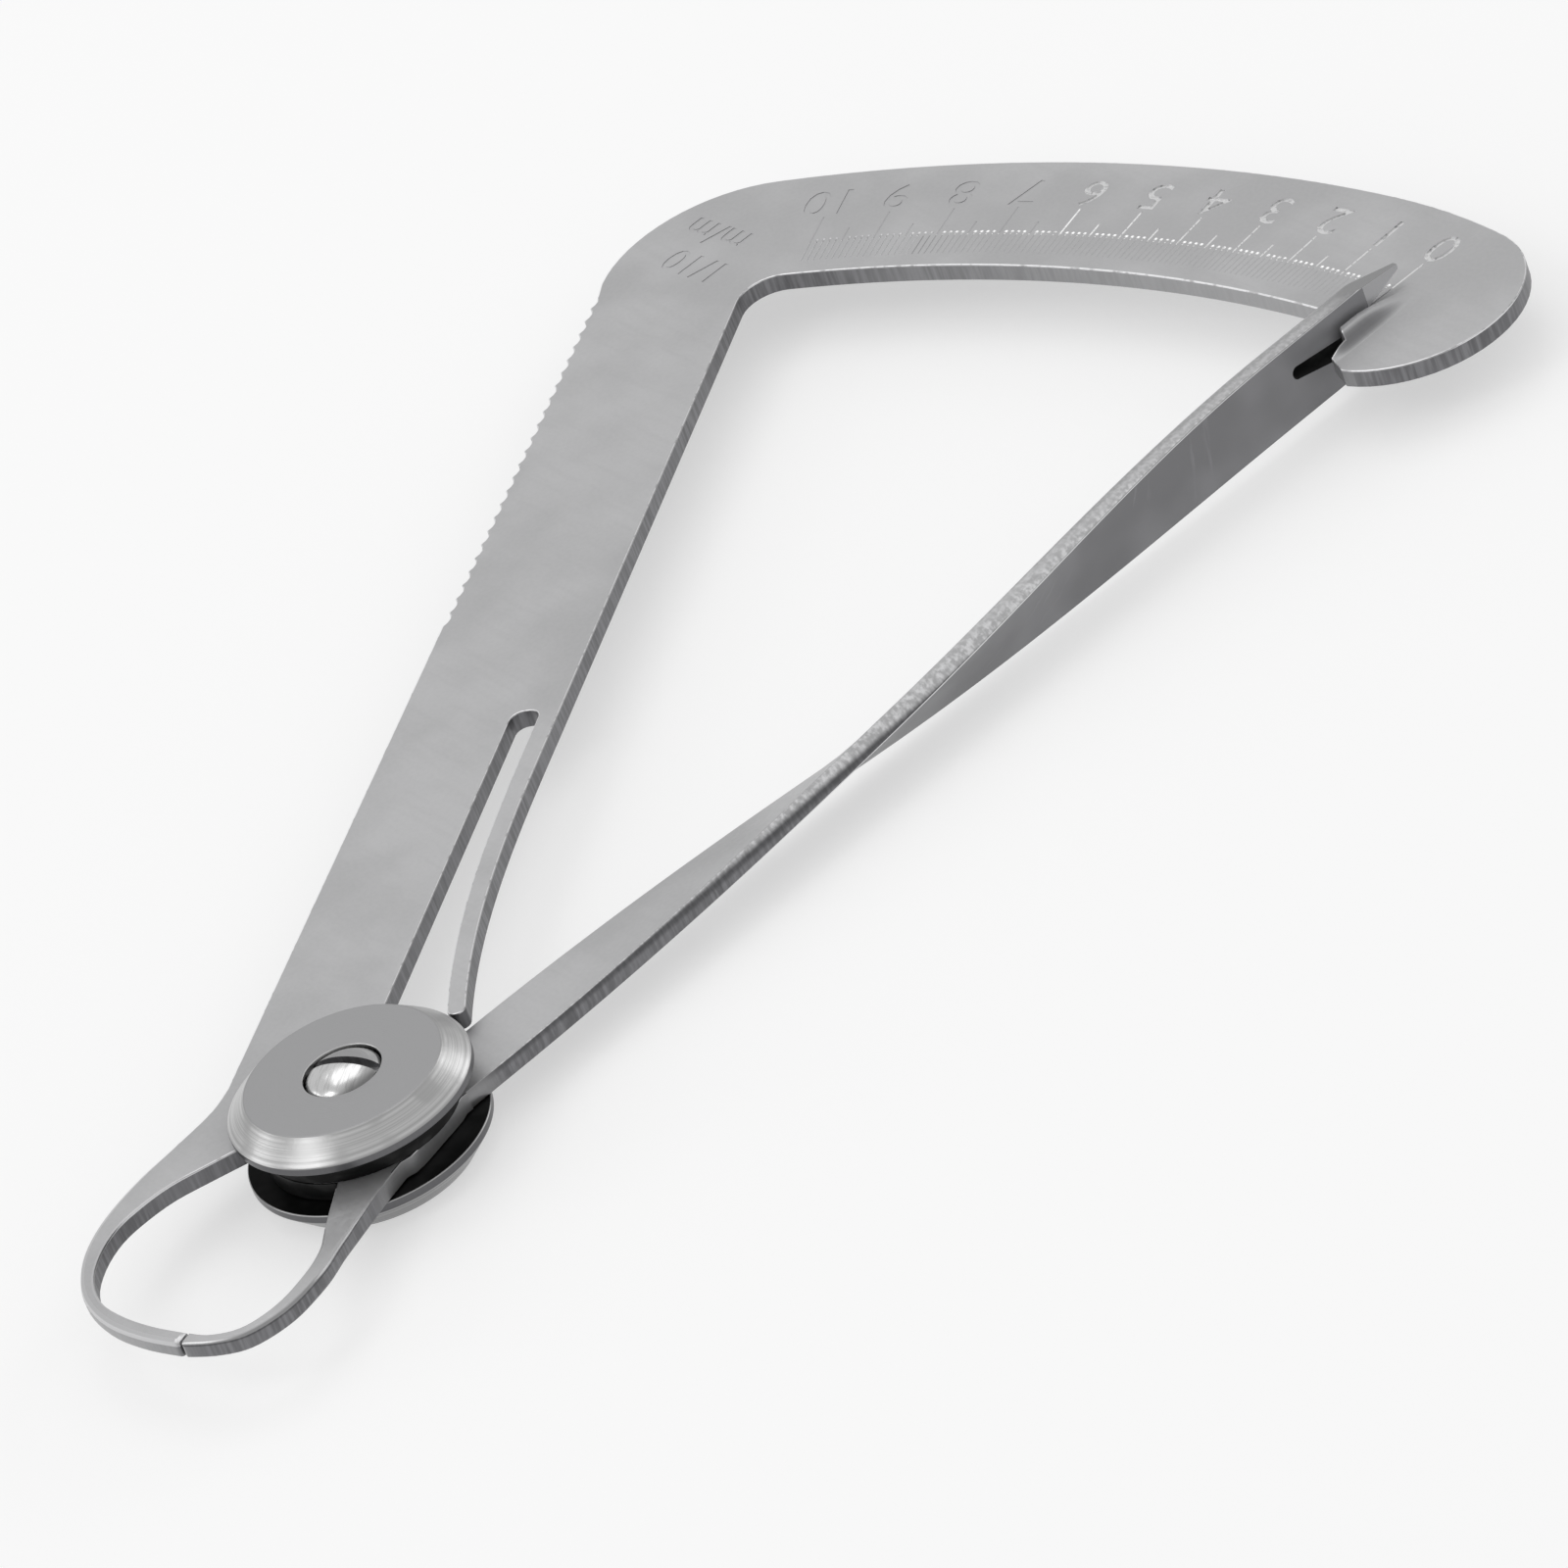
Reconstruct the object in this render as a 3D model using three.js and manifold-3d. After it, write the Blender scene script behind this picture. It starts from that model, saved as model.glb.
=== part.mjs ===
// Dental caliper: a sprung thickness gauge with claw jaws, a pointer arm and a 0 to 10 mm scale.
// Millimetres. The origin is on the pivot axis, on the underside of the back disc.
// +Z is up out of the engraved face and +Y runs from the pivot to the scale.
// Headings are in degrees, clockwise from +Y as seen from above.

import * as THREE from 'three';
import { mergeVertices } from 'three/addons/utils/BufferGeometryUtils.js';
import Module from 'manifold-3d';

const wasm = await Module();
wasm.setup();

// Sheet and stack
const sheetThickness = 1.1;      // the frame and the pointer arm are cut from one gauge of sheet
const layerGap = 0.05;           // running gap between the two sheets
const discGap = 0.05;            // running gap between the pointer arm and the back disc

// Pivot
const discRadius = 6.8;
const discFaceRadius = 5.5;      // flat face inside the turned chamfer
const discRimHeight = 0.45;
const backDiscThickness = 1.9;
const frontDiscThickness = 2;
const frontBossRadius = 6;       // narrower foot under the front disc's rim
const frontBossHeight = 0.4;
const turnedFacets = 56;
const eyeRadius = 5.6;           // rounded ends of both sheets round the pivot
const bushRadius = 3;
const bushWall = 1.4;
const runningFit = 0.05;         // radial clearance wherever one piece turns or seats in another
const screwHeadRadius = 2.15;
const screwHeadGap = 0.2;        // open ring round the screw head in the front disc
const screwHeadRise = 0.45;      // how far the dome stands above the disc's face
const screwHeadDepth = 1.1;      // how deep the head sits in the disc
const screwSlotWidth = 0.75;
const screwSlotDepth = 0.8;
const screwSlotHeading = 79;     // where the slot happened to stop
const screwTipDepth = 1.4;       // blind threaded depth in the back disc

// Scale
const scaleInnerRadius = 75.5;
const scaleOuterRadius = 85.8;
const paddleRadius = 7;          // round end of the scale, past its 0 mark
const paddleDrawIn = 0.5;        // how far that end stays inside the scale's outer arc
const paddleHeading = 16.65;
const paddleBlendHeading = 11;   // where the outer edge starts to draw in towards the round end
const outerCornerRadius = 8.8;
const innerCornerRadius = 2.2;

// Frame arm: two straight edges, each a heading and a sideways distance from the pivot
const armOuterHeading = -18.07;
const armOuterOffset = -8.1;
const armInnerHeading = -18.5;
const armInnerOffset = 2.18;

// Spring tongue cut beside the frame arm's inner edge
const tongueWidth = 1.2;
const tongueTipWidth = 1.05;
const slotWidth = 1.7;
const slotEnd = 34;              // distance along the inner edge to the slot's closed end
const slotCornerRadius = 0.7;
const tongueRoot = 32.6;         // distance along the inner edge to the tongue's root
const tongueBow = 2.2;           // how far the tip stands out from the root's line
const tongueTipStart = 7.1;      // distance along the inner edge to the tip's centre

// Serrated grip on the frame arm's outer edge
const gripToCorner = 1.2;        // plain length between the grip and the outer corner
const gripPitch = 1.3;
const gripTeeth = 25;
const gripDepth = 0.25;

// Pointer arm: a strip on a straight line in plan, turned from flat to on edge
const pointerHeading = 14.05;
const pointerOffset = 2.03;
const stripWidth = 4.2;
const stripRootWidth = 4.5;
const stripEndWidth = 4.8;
const stripStart = 3;
const twistStart = 8;
const riseStart = 38;            // from here the strip climbs to straddle the scale

// The strip's end, measured from the scale's inner edge, outwards from the pivot
const twistEndBack = 6.5;        // the strip stands fully on edge from here
const slitBack = 5;              // closed end of the slit
const straddleRoom = 0.2;        // clearance above and below the scale in the slit
const tipShoulderBack = 0.3;     // where the indicator starts to narrow
const lowerProngOut = 2.5;
const lowerProngCorner = 1.5;
const tipOut = 3.9;
const tipHeight = 0.85;          // underside of the indicator's point above the scale
const tipBlunt = 0.3;            // thickness of the point, in plan and in height

// Zero stop: the wall of the scale's round end that the strip rests against
const stopGap = 0.1;
const stopWallEndBack = 0.5;
const stopWallStartBack = 1.6;
const stopCornerEndBack = 2.2;
const stopCornerStartBack = 3.5;
const stopCornerOffset = 1.7;    // the corner below the wall stands back this far from the strip

// Claws: the tips' meeting face, the gap there at rest, and how far each claw bows out from the pivot
const jawReach = 19.2;
const jawHeading = 173.4;
const jawTipGap = 0.08;
const jawTipWidth = 0.9;
const leftClawBow = 9;
const rightClawBow = 7;
const clawRiseStart = 7;         // the right claw climbs to the frame's level between these distances
const clawRiseEnd = 14.5;

// Levels
const armBottom = backDiscThickness + discGap;
const armTop = armBottom + sheetThickness;
const plateBottom = armTop + layerGap;
const plateTop = plateBottom + sheetThickness;
const layerStep = plateBottom - armBottom;
const stackTop = plateTop + frontDiscThickness;
const pivotBore = bushRadius - bushWall;

// Places along the strip's line
const twistEnd = scaleInnerRadius - twistEndBack;
const slitStart = scaleInnerRadius - slitBack;
const tipShoulder = scaleInnerRadius - tipShoulderBack;
const lowerProngEnd = scaleInnerRadius + lowerProngOut;
const stripEnd = scaleInnerRadius + tipOut;

const steel = { metalness: 1, roughness: 0.38 };
const finishes = {
  sheet: new THREE.MeshStandardMaterial({ color: 0xa9a9ab, ...steel }),
  disc: new THREE.MeshStandardMaterial({ color: 0xa0a0a2, ...steel }),
  screw: new THREE.MeshStandardMaterial({ color: 0xb4b4b6, ...steel, roughness: 0.25 }),
  inner: new THREE.MeshStandardMaterial({ color: 0x8f8f92, ...steel })
};

const radians = THREE.MathUtils.degToRad;
const point = (x, y) => new THREE.Vector2(x, y);

// Points and lines in plan
function polar(radius, heading) {
  return point(radius * Math.sin(radians(heading)), radius * Math.cos(radians(heading)));
}

function alongLine(heading, offset, distance) {
  const forward = polar(1, heading);
  const right = polar(1, heading + 90);
  return forward.multiplyScalar(distance).add(right.multiplyScalar(offset));
}

function headingOf(place) {
  return THREE.MathUtils.radToDeg(Math.atan2(place.x, place.y));
}

// Points on an arc round a centre, both ends included
function arc(centre, radius, fromHeading, toHeading, steps) {
  const places = [];
  for (let step = 0; step <= steps; step += 1) {
    const heading = fromHeading + ((toHeading - fromHeading) * step) / steps;
    places.push(polar(radius, heading).add(centre));
  }
  return places;
}

// Claw outlines are drawn as shares of the claw's bow and of the jaws' reach
function clawPoints(bow, shares) {
  return shares.map(([across, along]) => point(across * bow, -along * jawReach));
}

// Circle of a given radius that touches a straight edge and a circle round the pivot from inside
function cornerCentre(heading, offset, circleRadius, radius) {
  const side = offset + radius;
  const reach = Math.sqrt((circleRadius - radius) ** 2 - side ** 2);
  return alongLine(heading, side, reach);
}

function curveThrough(places, steps) {
  return new THREE.SplineCurve(places).getPoints(steps);
}

// Solids
function signedVolume(places, triangles) {
  const corner = (index) => new THREE.Vector3().fromArray(places, 3 * triangles[index]);
  let sum = 0;
  for (let first = 0; first < triangles.length; first += 3) {
    sum += corner(first).dot(corner(first + 1).cross(corner(first + 2))) / 6;
  }
  return sum;
}

// A profile may be drawn either way round: a shell that faces inwards is turned outwards
function toManifold(geometry) {
  const bare = geometry.clone();
  bare.deleteAttribute('normal');
  bare.deleteAttribute('uv');
  const merged = mergeVertices(bare, 1e-4);
  const vertProperties = new Float32Array(merged.attributes.position.array);
  const triVerts = new Uint32Array(merged.index.array);
  if (signedVolume(vertProperties, triVerts) < 0) triVerts.reverse();
  return new wasm.Manifold(new wasm.Mesh({ numProp: 3, vertProperties, triVerts }));
}

function toGeometry(manifold) {
  const { vertProperties, triVerts } = manifold.getMesh();
  const geometry = new THREE.BufferGeometry();
  geometry.setAttribute('position', new THREE.BufferAttribute(vertProperties, 3));
  geometry.setIndex(new THREE.BufferAttribute(triVerts, 1));
  geometry.computeVertexNormals();
  return geometry;
}

function sheetSolid(outline, bottom, thickness) {
  const options = { depth: thickness, bevelEnabled: false };
  const sheet = new THREE.ExtrudeGeometry(new THREE.Shape(outline), options);
  return toManifold(sheet.translate(0, 0, bottom));
}

// A ring-shaped or solid turned piece from its half profile of [radius, z] pairs
function turned(profile, segments = turnedFacets) {
  const places = profile.map(([radius, z]) => point(radius, z));
  return toManifold(new THREE.LatheGeometry(places, segments).rotateX(Math.PI / 2));
}

// Four-cornered sections joined into one closed bar
function barThrough(sections) {
  const corners = sections.flat();
  const triangles = [];
  const last = sections.length - 1;
  for (let ring = 0; ring < last; ring += 1) {
    for (let side = 0; side < 4; side += 1) {
      const a = ring * 4 + side;
      const b = ring * 4 + ((side + 1) % 4);
      triangles.push(a, b, b + 4, a, b + 4, a + 4);
    }
  }
  triangles.push(0, 2, 1, 0, 3, 2);
  const end = last * 4;
  triangles.push(end, end + 1, end + 2, end, end + 2, end + 3);
  const geometry = new THREE.BufferGeometry();
  const places = corners.flatMap((corner) => corner.toArray());
  geometry.setAttribute('position', new THREE.Float32BufferAttribute(places, 3));
  geometry.setIndex(triangles);
  return toManifold(geometry);
}

function sheetHole(radius, bottom, thickness) {
  const low = bottom - 1;
  const high = bottom + thickness + 1;
  return turned([[0, low], [radius, low], [radius, high], [0, high]]);
}

// Frame plate
const onInnerEdge = (offset, distance) => alongLine(armInnerHeading, armInnerOffset + offset, distance);
const onStrip = (offset, distance) => alongLine(pointerHeading, pointerOffset + offset, distance);
const jawTip = polar(jawReach, jawHeading);

function gripEdge(cornerStart) {
  const places = [];
  for (let tooth = gripTeeth; tooth > 0; tooth -= 1) {
    const start = cornerStart - gripToCorner - tooth * gripPitch;
    for (let step = 0; step < 4; step += 1) {
      const depth = gripDepth * Math.sin((Math.PI * step) / 4);
      places.push(alongLine(armOuterHeading, armOuterOffset + depth, start + (gripPitch * step) / 4));
    }
  }
  return places;
}

// The outer edge leaves its arc and draws in to meet the round end
function paddleBlend(paddleStart) {
  const places = [];
  const steps = 6;
  const drop = scaleOuterRadius - paddleStart.length();
  for (let step = 1; step < steps; step += 1) {
    const share = step / steps;
    const heading = THREE.MathUtils.lerp(paddleBlendHeading, headingOf(paddleStart), share);
    places.push(polar(scaleOuterRadius - drop * share ** 2, heading));
  }
  return places;
}

function scaleAndPaddle() {
  const outerCorner = cornerCentre(armOuterHeading, armOuterOffset, scaleOuterRadius, outerCornerRadius);
  const innerCorner = cornerCentre(armInnerHeading, armInnerOffset, scaleInnerRadius, innerCornerRadius);
  const paddle = polar(scaleOuterRadius - paddleDrawIn - paddleRadius, paddleHeading);
  const roundEnd = arc(paddle, paddleRadius, paddleHeading + 5, 181, 26);
  const wallOffset = sheetThickness / 2 + stopGap;
  const notchHeading = headingOf(onStrip(0, scaleInnerRadius));
  const cornerStart = outerCorner.dot(polar(1, armOuterHeading));
  const onScaleEdge = (offset, back) => onStrip(offset, scaleInnerRadius - back);
  return [
    ...gripEdge(cornerStart),
    ...arc(outerCorner, outerCornerRadius, armOuterHeading - 90, headingOf(outerCorner), 16),
    ...arc(point(0, 0), scaleOuterRadius, headingOf(outerCorner) + 1, paddleBlendHeading, 28),
    ...paddleBlend(roundEnd[0]),
    ...roundEnd,
    onScaleEdge(stopCornerOffset, stopCornerStartBack),
    onScaleEdge(stopCornerOffset, stopCornerEndBack),
    onScaleEdge(wallOffset, stopWallStartBack),
    onScaleEdge(wallOffset, stopWallEndBack),
    ...arc(point(0, 0), scaleInnerRadius, notchHeading, headingOf(innerCorner) + 1, 28),
    ...arc(innerCorner, innerCornerRadius, headingOf(innerCorner), armInnerHeading - 90, 8)
  ];
}

// Left claw, from the pivot down its inner side to the tip and back up its outer side
function leftClaw() {
  const tip = jawTip.clone().sub(point(jawTipGap / 2, 0));
  const inner = clawPoints(-leftClawBow, [
    [0.467, 0.24], [0.611, 0.339], [0.744, 0.438], [0.817, 0.544], [0.839, 0.635],
    [0.794, 0.737], [0.689, 0.833], [0.511, 0.909], [0.267, 0.95], [0, 0.969]
  ]);
  const outer = clawPoints(-leftClawBow, [
    [0.056, 1.013], [0.356, 0.984], [0.622, 0.919], [0.811, 0.828], [0.939, 0.714],
    [1, 0.578], [0.994, 0.427], [0.939, 0.276], [0.9, 0.135]
  ]);
  const innerEnd = tip.clone().add(point(0, jawTipWidth / 2));
  const outerEnd = tip.clone().sub(point(0, jawTipWidth / 2));
  const shoulder = alongLine(armOuterHeading, armOuterOffset, 2);
  return [...curveThrough([...inner, innerEnd], 36), ...curveThrough([outerEnd, ...outer, shoulder], 44)];
}

function frameOutline() {
  return [
    ...leftClaw(),
    alongLine(armOuterHeading, armOuterOffset, 4),
    ...scaleAndPaddle(),
    onInnerEdge(0, 0)
  ];
}

// Root of the tongue, where its round end sits in the frame
const tongueRootCentre = onInnerEdge(-tongueWidth / 2, tongueRoot);

// Window that frees the tongue: the slot, the tongue's own place and its root pocket
function tongueBay() {
  const slotSide = -tongueWidth;
  const wall = slotSide - slotWidth;
  const corner = slotCornerRadius;
  const first = onInnerEdge(wall + corner, slotEnd - corner);
  const second = onInnerEdge(slotSide - corner, slotEnd - corner);
  const beyondEdge = 9;
  const outline = [
    onInnerEdge(wall, 0),
    ...arc(first, corner, armInnerHeading - 90, armInnerHeading, 5),
    ...arc(second, corner, armInnerHeading, armInnerHeading + 90, 5),
    onInnerEdge(slotSide, tongueRoot),
    onInnerEdge(beyondEdge, tongueRoot),
    onInnerEdge(beyondEdge, 0)
  ];
  const bay = sheetSolid(outline, plateBottom - 1, sheetThickness + 2);
  const pocket = sheetHole(tongueWidth / 2 + runningFit, plateBottom, sheetThickness);
  return bay.add(pocket.translate([tongueRootCentre.x, tongueRootCentre.y, 0]));
}

function framePlate() {
  const blank = sheetSolid(frameOutline(), plateBottom, sheetThickness);
  const eye = turned([[0, plateBottom], [eyeRadius, plateBottom], [eyeRadius, plateTop], [0, plateTop]]);
  const hole = sheetHole(bushRadius + runningFit, plateBottom, sheetThickness);
  return blank.subtract(tongueBay()).add(eye).subtract(hole);
}

// Middle line of the tongue: straight from its root, then bowed out over its free half
function tongueSpine() {
  const places = [];
  const steps = 36;
  for (let step = 0; step <= steps; step += 1) {
    const share = step / steps;
    const distance = THREE.MathUtils.lerp(tongueRoot, tongueTipStart, share);
    places.push(onInnerEdge(tongueBow * share ** 3 - tongueWidth / 2, distance));
  }
  return places;
}

// Spring tongue: round root, bowed leaf, rounded tip
function springTongue() {
  const spine = tongueSpine();
  const tipCentre = spine[spine.length - 1];
  const left = [];
  const right = [];
  spine.forEach((place, index) => {
    const before = spine[Math.max(index - 1, 0)];
    const after = spine[Math.min(index + 1, spine.length - 1)];
    const across = after.clone().sub(before).normalize().rotateAround(point(0, 0), Math.PI / 2);
    const half = THREE.MathUtils.lerp(tongueWidth, tongueTipWidth, index / (spine.length - 1)) / 2;
    left.push(place.clone().sub(across.clone().multiplyScalar(half)));
    right.push(place.clone().add(across.multiplyScalar(half)));
  });
  const tipHeading = headingOf(right[right.length - 1].clone().sub(tipCentre));
  const tip = arc(tipCentre, tongueTipWidth / 2, tipHeading, tipHeading + 180, 8).slice(1, -1);
  const leaf = sheetSolid([...left, ...tip.reverse(), ...right.reverse()], plateBottom, sheetThickness);
  const rootProfile = [
    [0, plateBottom], [tongueWidth / 2, plateBottom], [tongueWidth / 2, plateTop], [0, plateTop]
  ];
  return leaf.add(turned(rootProfile, 32).translate([tongueRootCentre.x, tongueRootCentre.y, 0]));
}

// Pointer arm
const ease = THREE.MathUtils.smoothstep;

function stripSection(distance) {
  const roll = (Math.PI / 2) * ease(distance, twistStart, twistEnd);
  const endShare = ease(distance, riseStart, twistEnd);
  const rootShare = 1 - ease(distance, stripStart, riseStart);
  const rootExtra = (stripRootWidth - stripWidth) * rootShare;
  const endExtra = (stripEndWidth - stripWidth) * endShare;
  const width = stripWidth + rootExtra + endExtra;
  const middle = armBottom + sheetThickness / 2 + layerStep * endShare;
  const tipShare = THREE.MathUtils.clamp((distance - tipShoulder) / (stripEnd - tipShoulder), 0, 1);
  const thickness = THREE.MathUtils.lerp(sheetThickness, tipBlunt, tipShare);
  const place = onStrip(0, distance);
  const right = polar(1, pointerHeading + 90);
  const across = new THREE.Vector3(right.x * Math.cos(roll), right.y * Math.cos(roll), Math.sin(roll));
  const normal = new THREE.Vector3(-right.x * Math.sin(roll), -right.y * Math.sin(roll), Math.cos(roll));
  const corner = (side, face) => new THREE.Vector3(place.x, place.y, middle)
    .addScaledVector(across, (side * width) / 2)
    .addScaledVector(normal, (face * thickness) / 2);
  return [corner(-1, 1), corner(-1, -1), corner(1, -1), corner(1, 1)];
}

// Upright block in the strip's own plane, from a side view of [distance, z] pairs
function stripCut(sideView) {
  const halfRoom = 2 * sheetThickness;
  const geometry = new THREE.ExtrudeGeometry(
    new THREE.Shape(sideView.map(([distance, z]) => point(distance, z))),
    { depth: 2 * halfRoom, bevelEnabled: false }
  );
  geometry.translate(0, 0, -halfRoom);
  geometry.rotateX(Math.PI / 2);
  geometry.rotateZ(Math.PI / 2 - radians(pointerHeading));
  const foot = onStrip(0, 0);
  return toManifold(geometry.translate(foot.x, foot.y, 0));
}

function pointerStrip() {
  const sections = [];
  const steps = 44;
  for (let step = 0; step <= steps; step += 1) {
    sections.push(stripSection(THREE.MathUtils.lerp(stripStart, stripEnd, step / steps)));
  }
  const clear = 1;
  const beyond = stripEnd + clear;
  const slitTop = plateTop + straddleRoom;
  const slitBottom = plateBottom - straddleRoom;
  const slitMiddle = (slitTop + slitBottom) / 2;
  const top = slitMiddle + stripEndWidth / 2;
  const bottom = slitMiddle - stripEndWidth / 2;
  const pointBottom = plateTop + tipHeight;
  const pointTop = pointBottom + tipBlunt;
  const noseRadius = (slitTop - slitBottom) / 2;
  const nose = [];
  const prongCorner = [];
  const cornerSteps = 6;
  for (let step = 0; step <= cornerSteps; step += 1) {
    const turn = (Math.PI * step) / cornerSteps;
    nose.push([slitStart + noseRadius * (1 - Math.sin(turn)), slitMiddle + noseRadius * Math.cos(turn)]);
    prongCorner.push([
      lowerProngEnd - lowerProngCorner * (1 - Math.sin(turn / 2)),
      bottom + lowerProngCorner * (1 - Math.cos(turn / 2))
    ]);
  }
  const slit = stripCut([...nose, [beyond, slitBottom], [beyond, slitTop]]);
  const abovePoint = stripCut([
    [tipShoulder, top], [stripEnd, pointTop], [beyond, pointTop],
    [beyond, top + clear], [tipShoulder, top + clear]
  ]);
  const underPoint = stripCut([
    [tipShoulder, slitMiddle], [beyond, slitMiddle], [beyond, pointBottom], [stripEnd, pointBottom],
    [tipShoulder, slitTop]
  ]);
  const belowEnd = stripCut([
    ...prongCorner, [lowerProngEnd, slitMiddle], [beyond, slitMiddle], [beyond, bottom - clear],
    [lowerProngEnd - lowerProngCorner, bottom - clear]
  ]);
  const cuts = slit.add(abovePoint).add(underPoint).add(belowEnd);
  return barThrough(sections).subtract(cuts);
}

// Right claw: cut flat, then raised to the frame's level so that the tips meet
function rightClaw() {
  const tip = jawTip.clone().add(point(jawTipGap / 2, 0));
  const inner = clawPoints(rightClawBow, [
    [0.507, 0.964], [0.707, 0.924], [0.821, 0.849], [0.864, 0.755], [0.821, 0.656],
    [0.693, 0.552], [0.521, 0.453], [0.329, 0.307], [0.143, 0.156]
  ]);
  const outer = clawPoints(rightClawBow, [
    [0.581, 0.992], [0.806, 0.943], [0.95, 0.849], [1, 0.75], [0.965, 0.641],
    [0.83, 0.5], [0.72, 0.344], [0.68, 0.177], [0.671, -0.026]
  ]);
  const steps = 40;
  const innerSide = curveThrough([tip.clone().add(point(0, jawTipWidth / 2)), ...inner], steps);
  const outerSide = curveThrough([tip.clone().sub(point(0, jawTipWidth / 2)), ...outer], steps);
  const sections = innerSide.map((near, index) => {
    const far = outerSide[index];
    const lift = layerStep * ease(-(near.y + far.y) / 2, clawRiseStart, clawRiseEnd);
    const corner = (place, z) => new THREE.Vector3(place.x, place.y, z + lift);
    return [corner(near, armTop), corner(near, armBottom), corner(far, armBottom), corner(far, armTop)];
  });
  return barThrough(sections);
}

function pointerArm() {
  const eye = turned([[0, armBottom], [eyeRadius, armBottom], [eyeRadius, armTop], [0, armTop]]);
  const hole = sheetHole(bushRadius + runningFit, armBottom, sheetThickness);
  return rightClaw().add(eye).add(pointerStrip()).subtract(hole);
}

// Pivot pieces
function backDisc() {
  const floor = backDiscThickness - screwTipDepth;
  return turned([
    [0, 0], [discFaceRadius, 0], [discRadius, backDiscThickness - discRimHeight],
    [discRadius, backDiscThickness], [pivotBore, backDiscThickness], [pivotBore, floor], [0, floor]
  ]);
}

function frontDisc() {
  const counterbore = screwHeadRadius + screwHeadGap;
  const seat = stackTop - screwHeadDepth;
  const rimBottom = plateTop + frontBossHeight;
  return turned([
    [pivotBore, plateTop], [frontBossRadius, plateTop], [frontBossRadius, rimBottom], [discRadius, rimBottom],
    [discRadius, rimBottom + discRimHeight], [discFaceRadius, stackTop], [counterbore, stackTop],
    [counterbore, seat], [pivotBore, seat], [pivotBore, plateTop]
  ]);
}

function pivotBush() {
  return turned([
    [pivotBore, backDiscThickness], [bushRadius, backDiscThickness], [bushRadius, plateTop],
    [pivotBore, plateTop], [pivotBore, backDiscThickness]
  ]);
}

function pivotScrew() {
  const shank = pivotBore - runningFit;
  const seat = stackTop - screwHeadDepth;
  const tip = backDiscThickness - screwTipDepth + runningFit;
  const crown = stackTop + screwHeadRise;
  const side = stackTop - screwHeadRise;
  const profile = [[0, tip], [shank, tip], [shank, seat], [screwHeadRadius, seat]];
  const domeSteps = 8;
  for (let step = 0; step <= domeSteps; step += 1) {
    const angle = (Math.PI / 2) * (step / domeSteps);
    const radius = step === domeSteps ? 0 : screwHeadRadius * Math.cos(angle);
    profile.push([radius, side + (crown - side) * Math.sin(angle)]);
  }
  const saw = new THREE.BoxGeometry(screwSlotWidth, 3 * screwHeadRadius, 2 * screwSlotDepth);
  saw.rotateZ(-radians(screwSlotHeading)).translate(0, 0, crown);
  return turned(profile).subtract(toManifold(saw));
}

function part(name, manifold, material) {
  const mesh = new THREE.Mesh(toGeometry(manifold), material);
  mesh.name = name;
  return mesh;
}

const caliper = new THREE.Group();
caliper.add(
  part('frame_plate', framePlate(), finishes.sheet),
  part('spring_tongue', springTongue(), finishes.sheet),
  part('pointer_arm', pointerArm(), finishes.sheet),
  part('front_disc', frontDisc(), finishes.disc),
  part('back_disc', backDisc(), finishes.disc),
  part('pivot_bush', pivotBush(), finishes.inner),
  part('pivot_screw', pivotScrew(), finishes.screw)
);

export default caliper;
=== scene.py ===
import math

import bmesh
import bpy
from bpy.props import FloatProperty, FloatVectorProperty, IntProperty, PointerProperty
from mathutils import Matrix, Vector


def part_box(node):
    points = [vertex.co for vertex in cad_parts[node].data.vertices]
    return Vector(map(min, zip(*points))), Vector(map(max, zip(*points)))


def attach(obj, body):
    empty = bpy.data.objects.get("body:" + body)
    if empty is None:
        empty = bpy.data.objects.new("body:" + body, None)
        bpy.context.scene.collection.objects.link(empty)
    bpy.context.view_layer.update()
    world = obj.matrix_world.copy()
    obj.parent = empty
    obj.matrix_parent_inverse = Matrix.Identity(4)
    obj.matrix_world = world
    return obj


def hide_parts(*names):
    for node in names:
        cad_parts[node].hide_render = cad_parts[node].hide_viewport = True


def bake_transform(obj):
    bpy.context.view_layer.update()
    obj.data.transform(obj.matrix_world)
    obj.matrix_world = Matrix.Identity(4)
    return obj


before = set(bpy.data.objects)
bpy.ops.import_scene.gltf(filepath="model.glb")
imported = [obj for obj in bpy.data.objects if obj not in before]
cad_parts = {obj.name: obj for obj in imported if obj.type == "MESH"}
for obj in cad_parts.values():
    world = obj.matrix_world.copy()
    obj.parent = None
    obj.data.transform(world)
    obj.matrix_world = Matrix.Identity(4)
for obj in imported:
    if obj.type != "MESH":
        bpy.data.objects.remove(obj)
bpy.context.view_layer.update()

bl_info = {
    "name": "Spring thickness caliper",
    "version": (1, 0, 0),
    "blender": (4, 5, 0),
    "location": "3D View > Sidebar > Caliper",
    "description": "Dresses the packed caliper: sheet frame, tongue, pointer arm, pivot and stage",
    "category": "Object",
}

# Modelling is done in millimetres and each finished mesh is brought to metres
MM = 0.001


def level(node, end, axis=2):
    """A corner coordinate of a CAD node, in millimetres: end 0 is the lowest and 1 the highest."""
    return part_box(node)[end][axis] / MM


# Corners closer than this, in millimetres, are merged
MERGE_GAP = 0.002
# What is as near as this, in millimetres, counts as being there
NEAR = 0.02
# Edges shorter than this are merged away before a piece is rounded
SHORT_EDGE = 0.06

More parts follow.
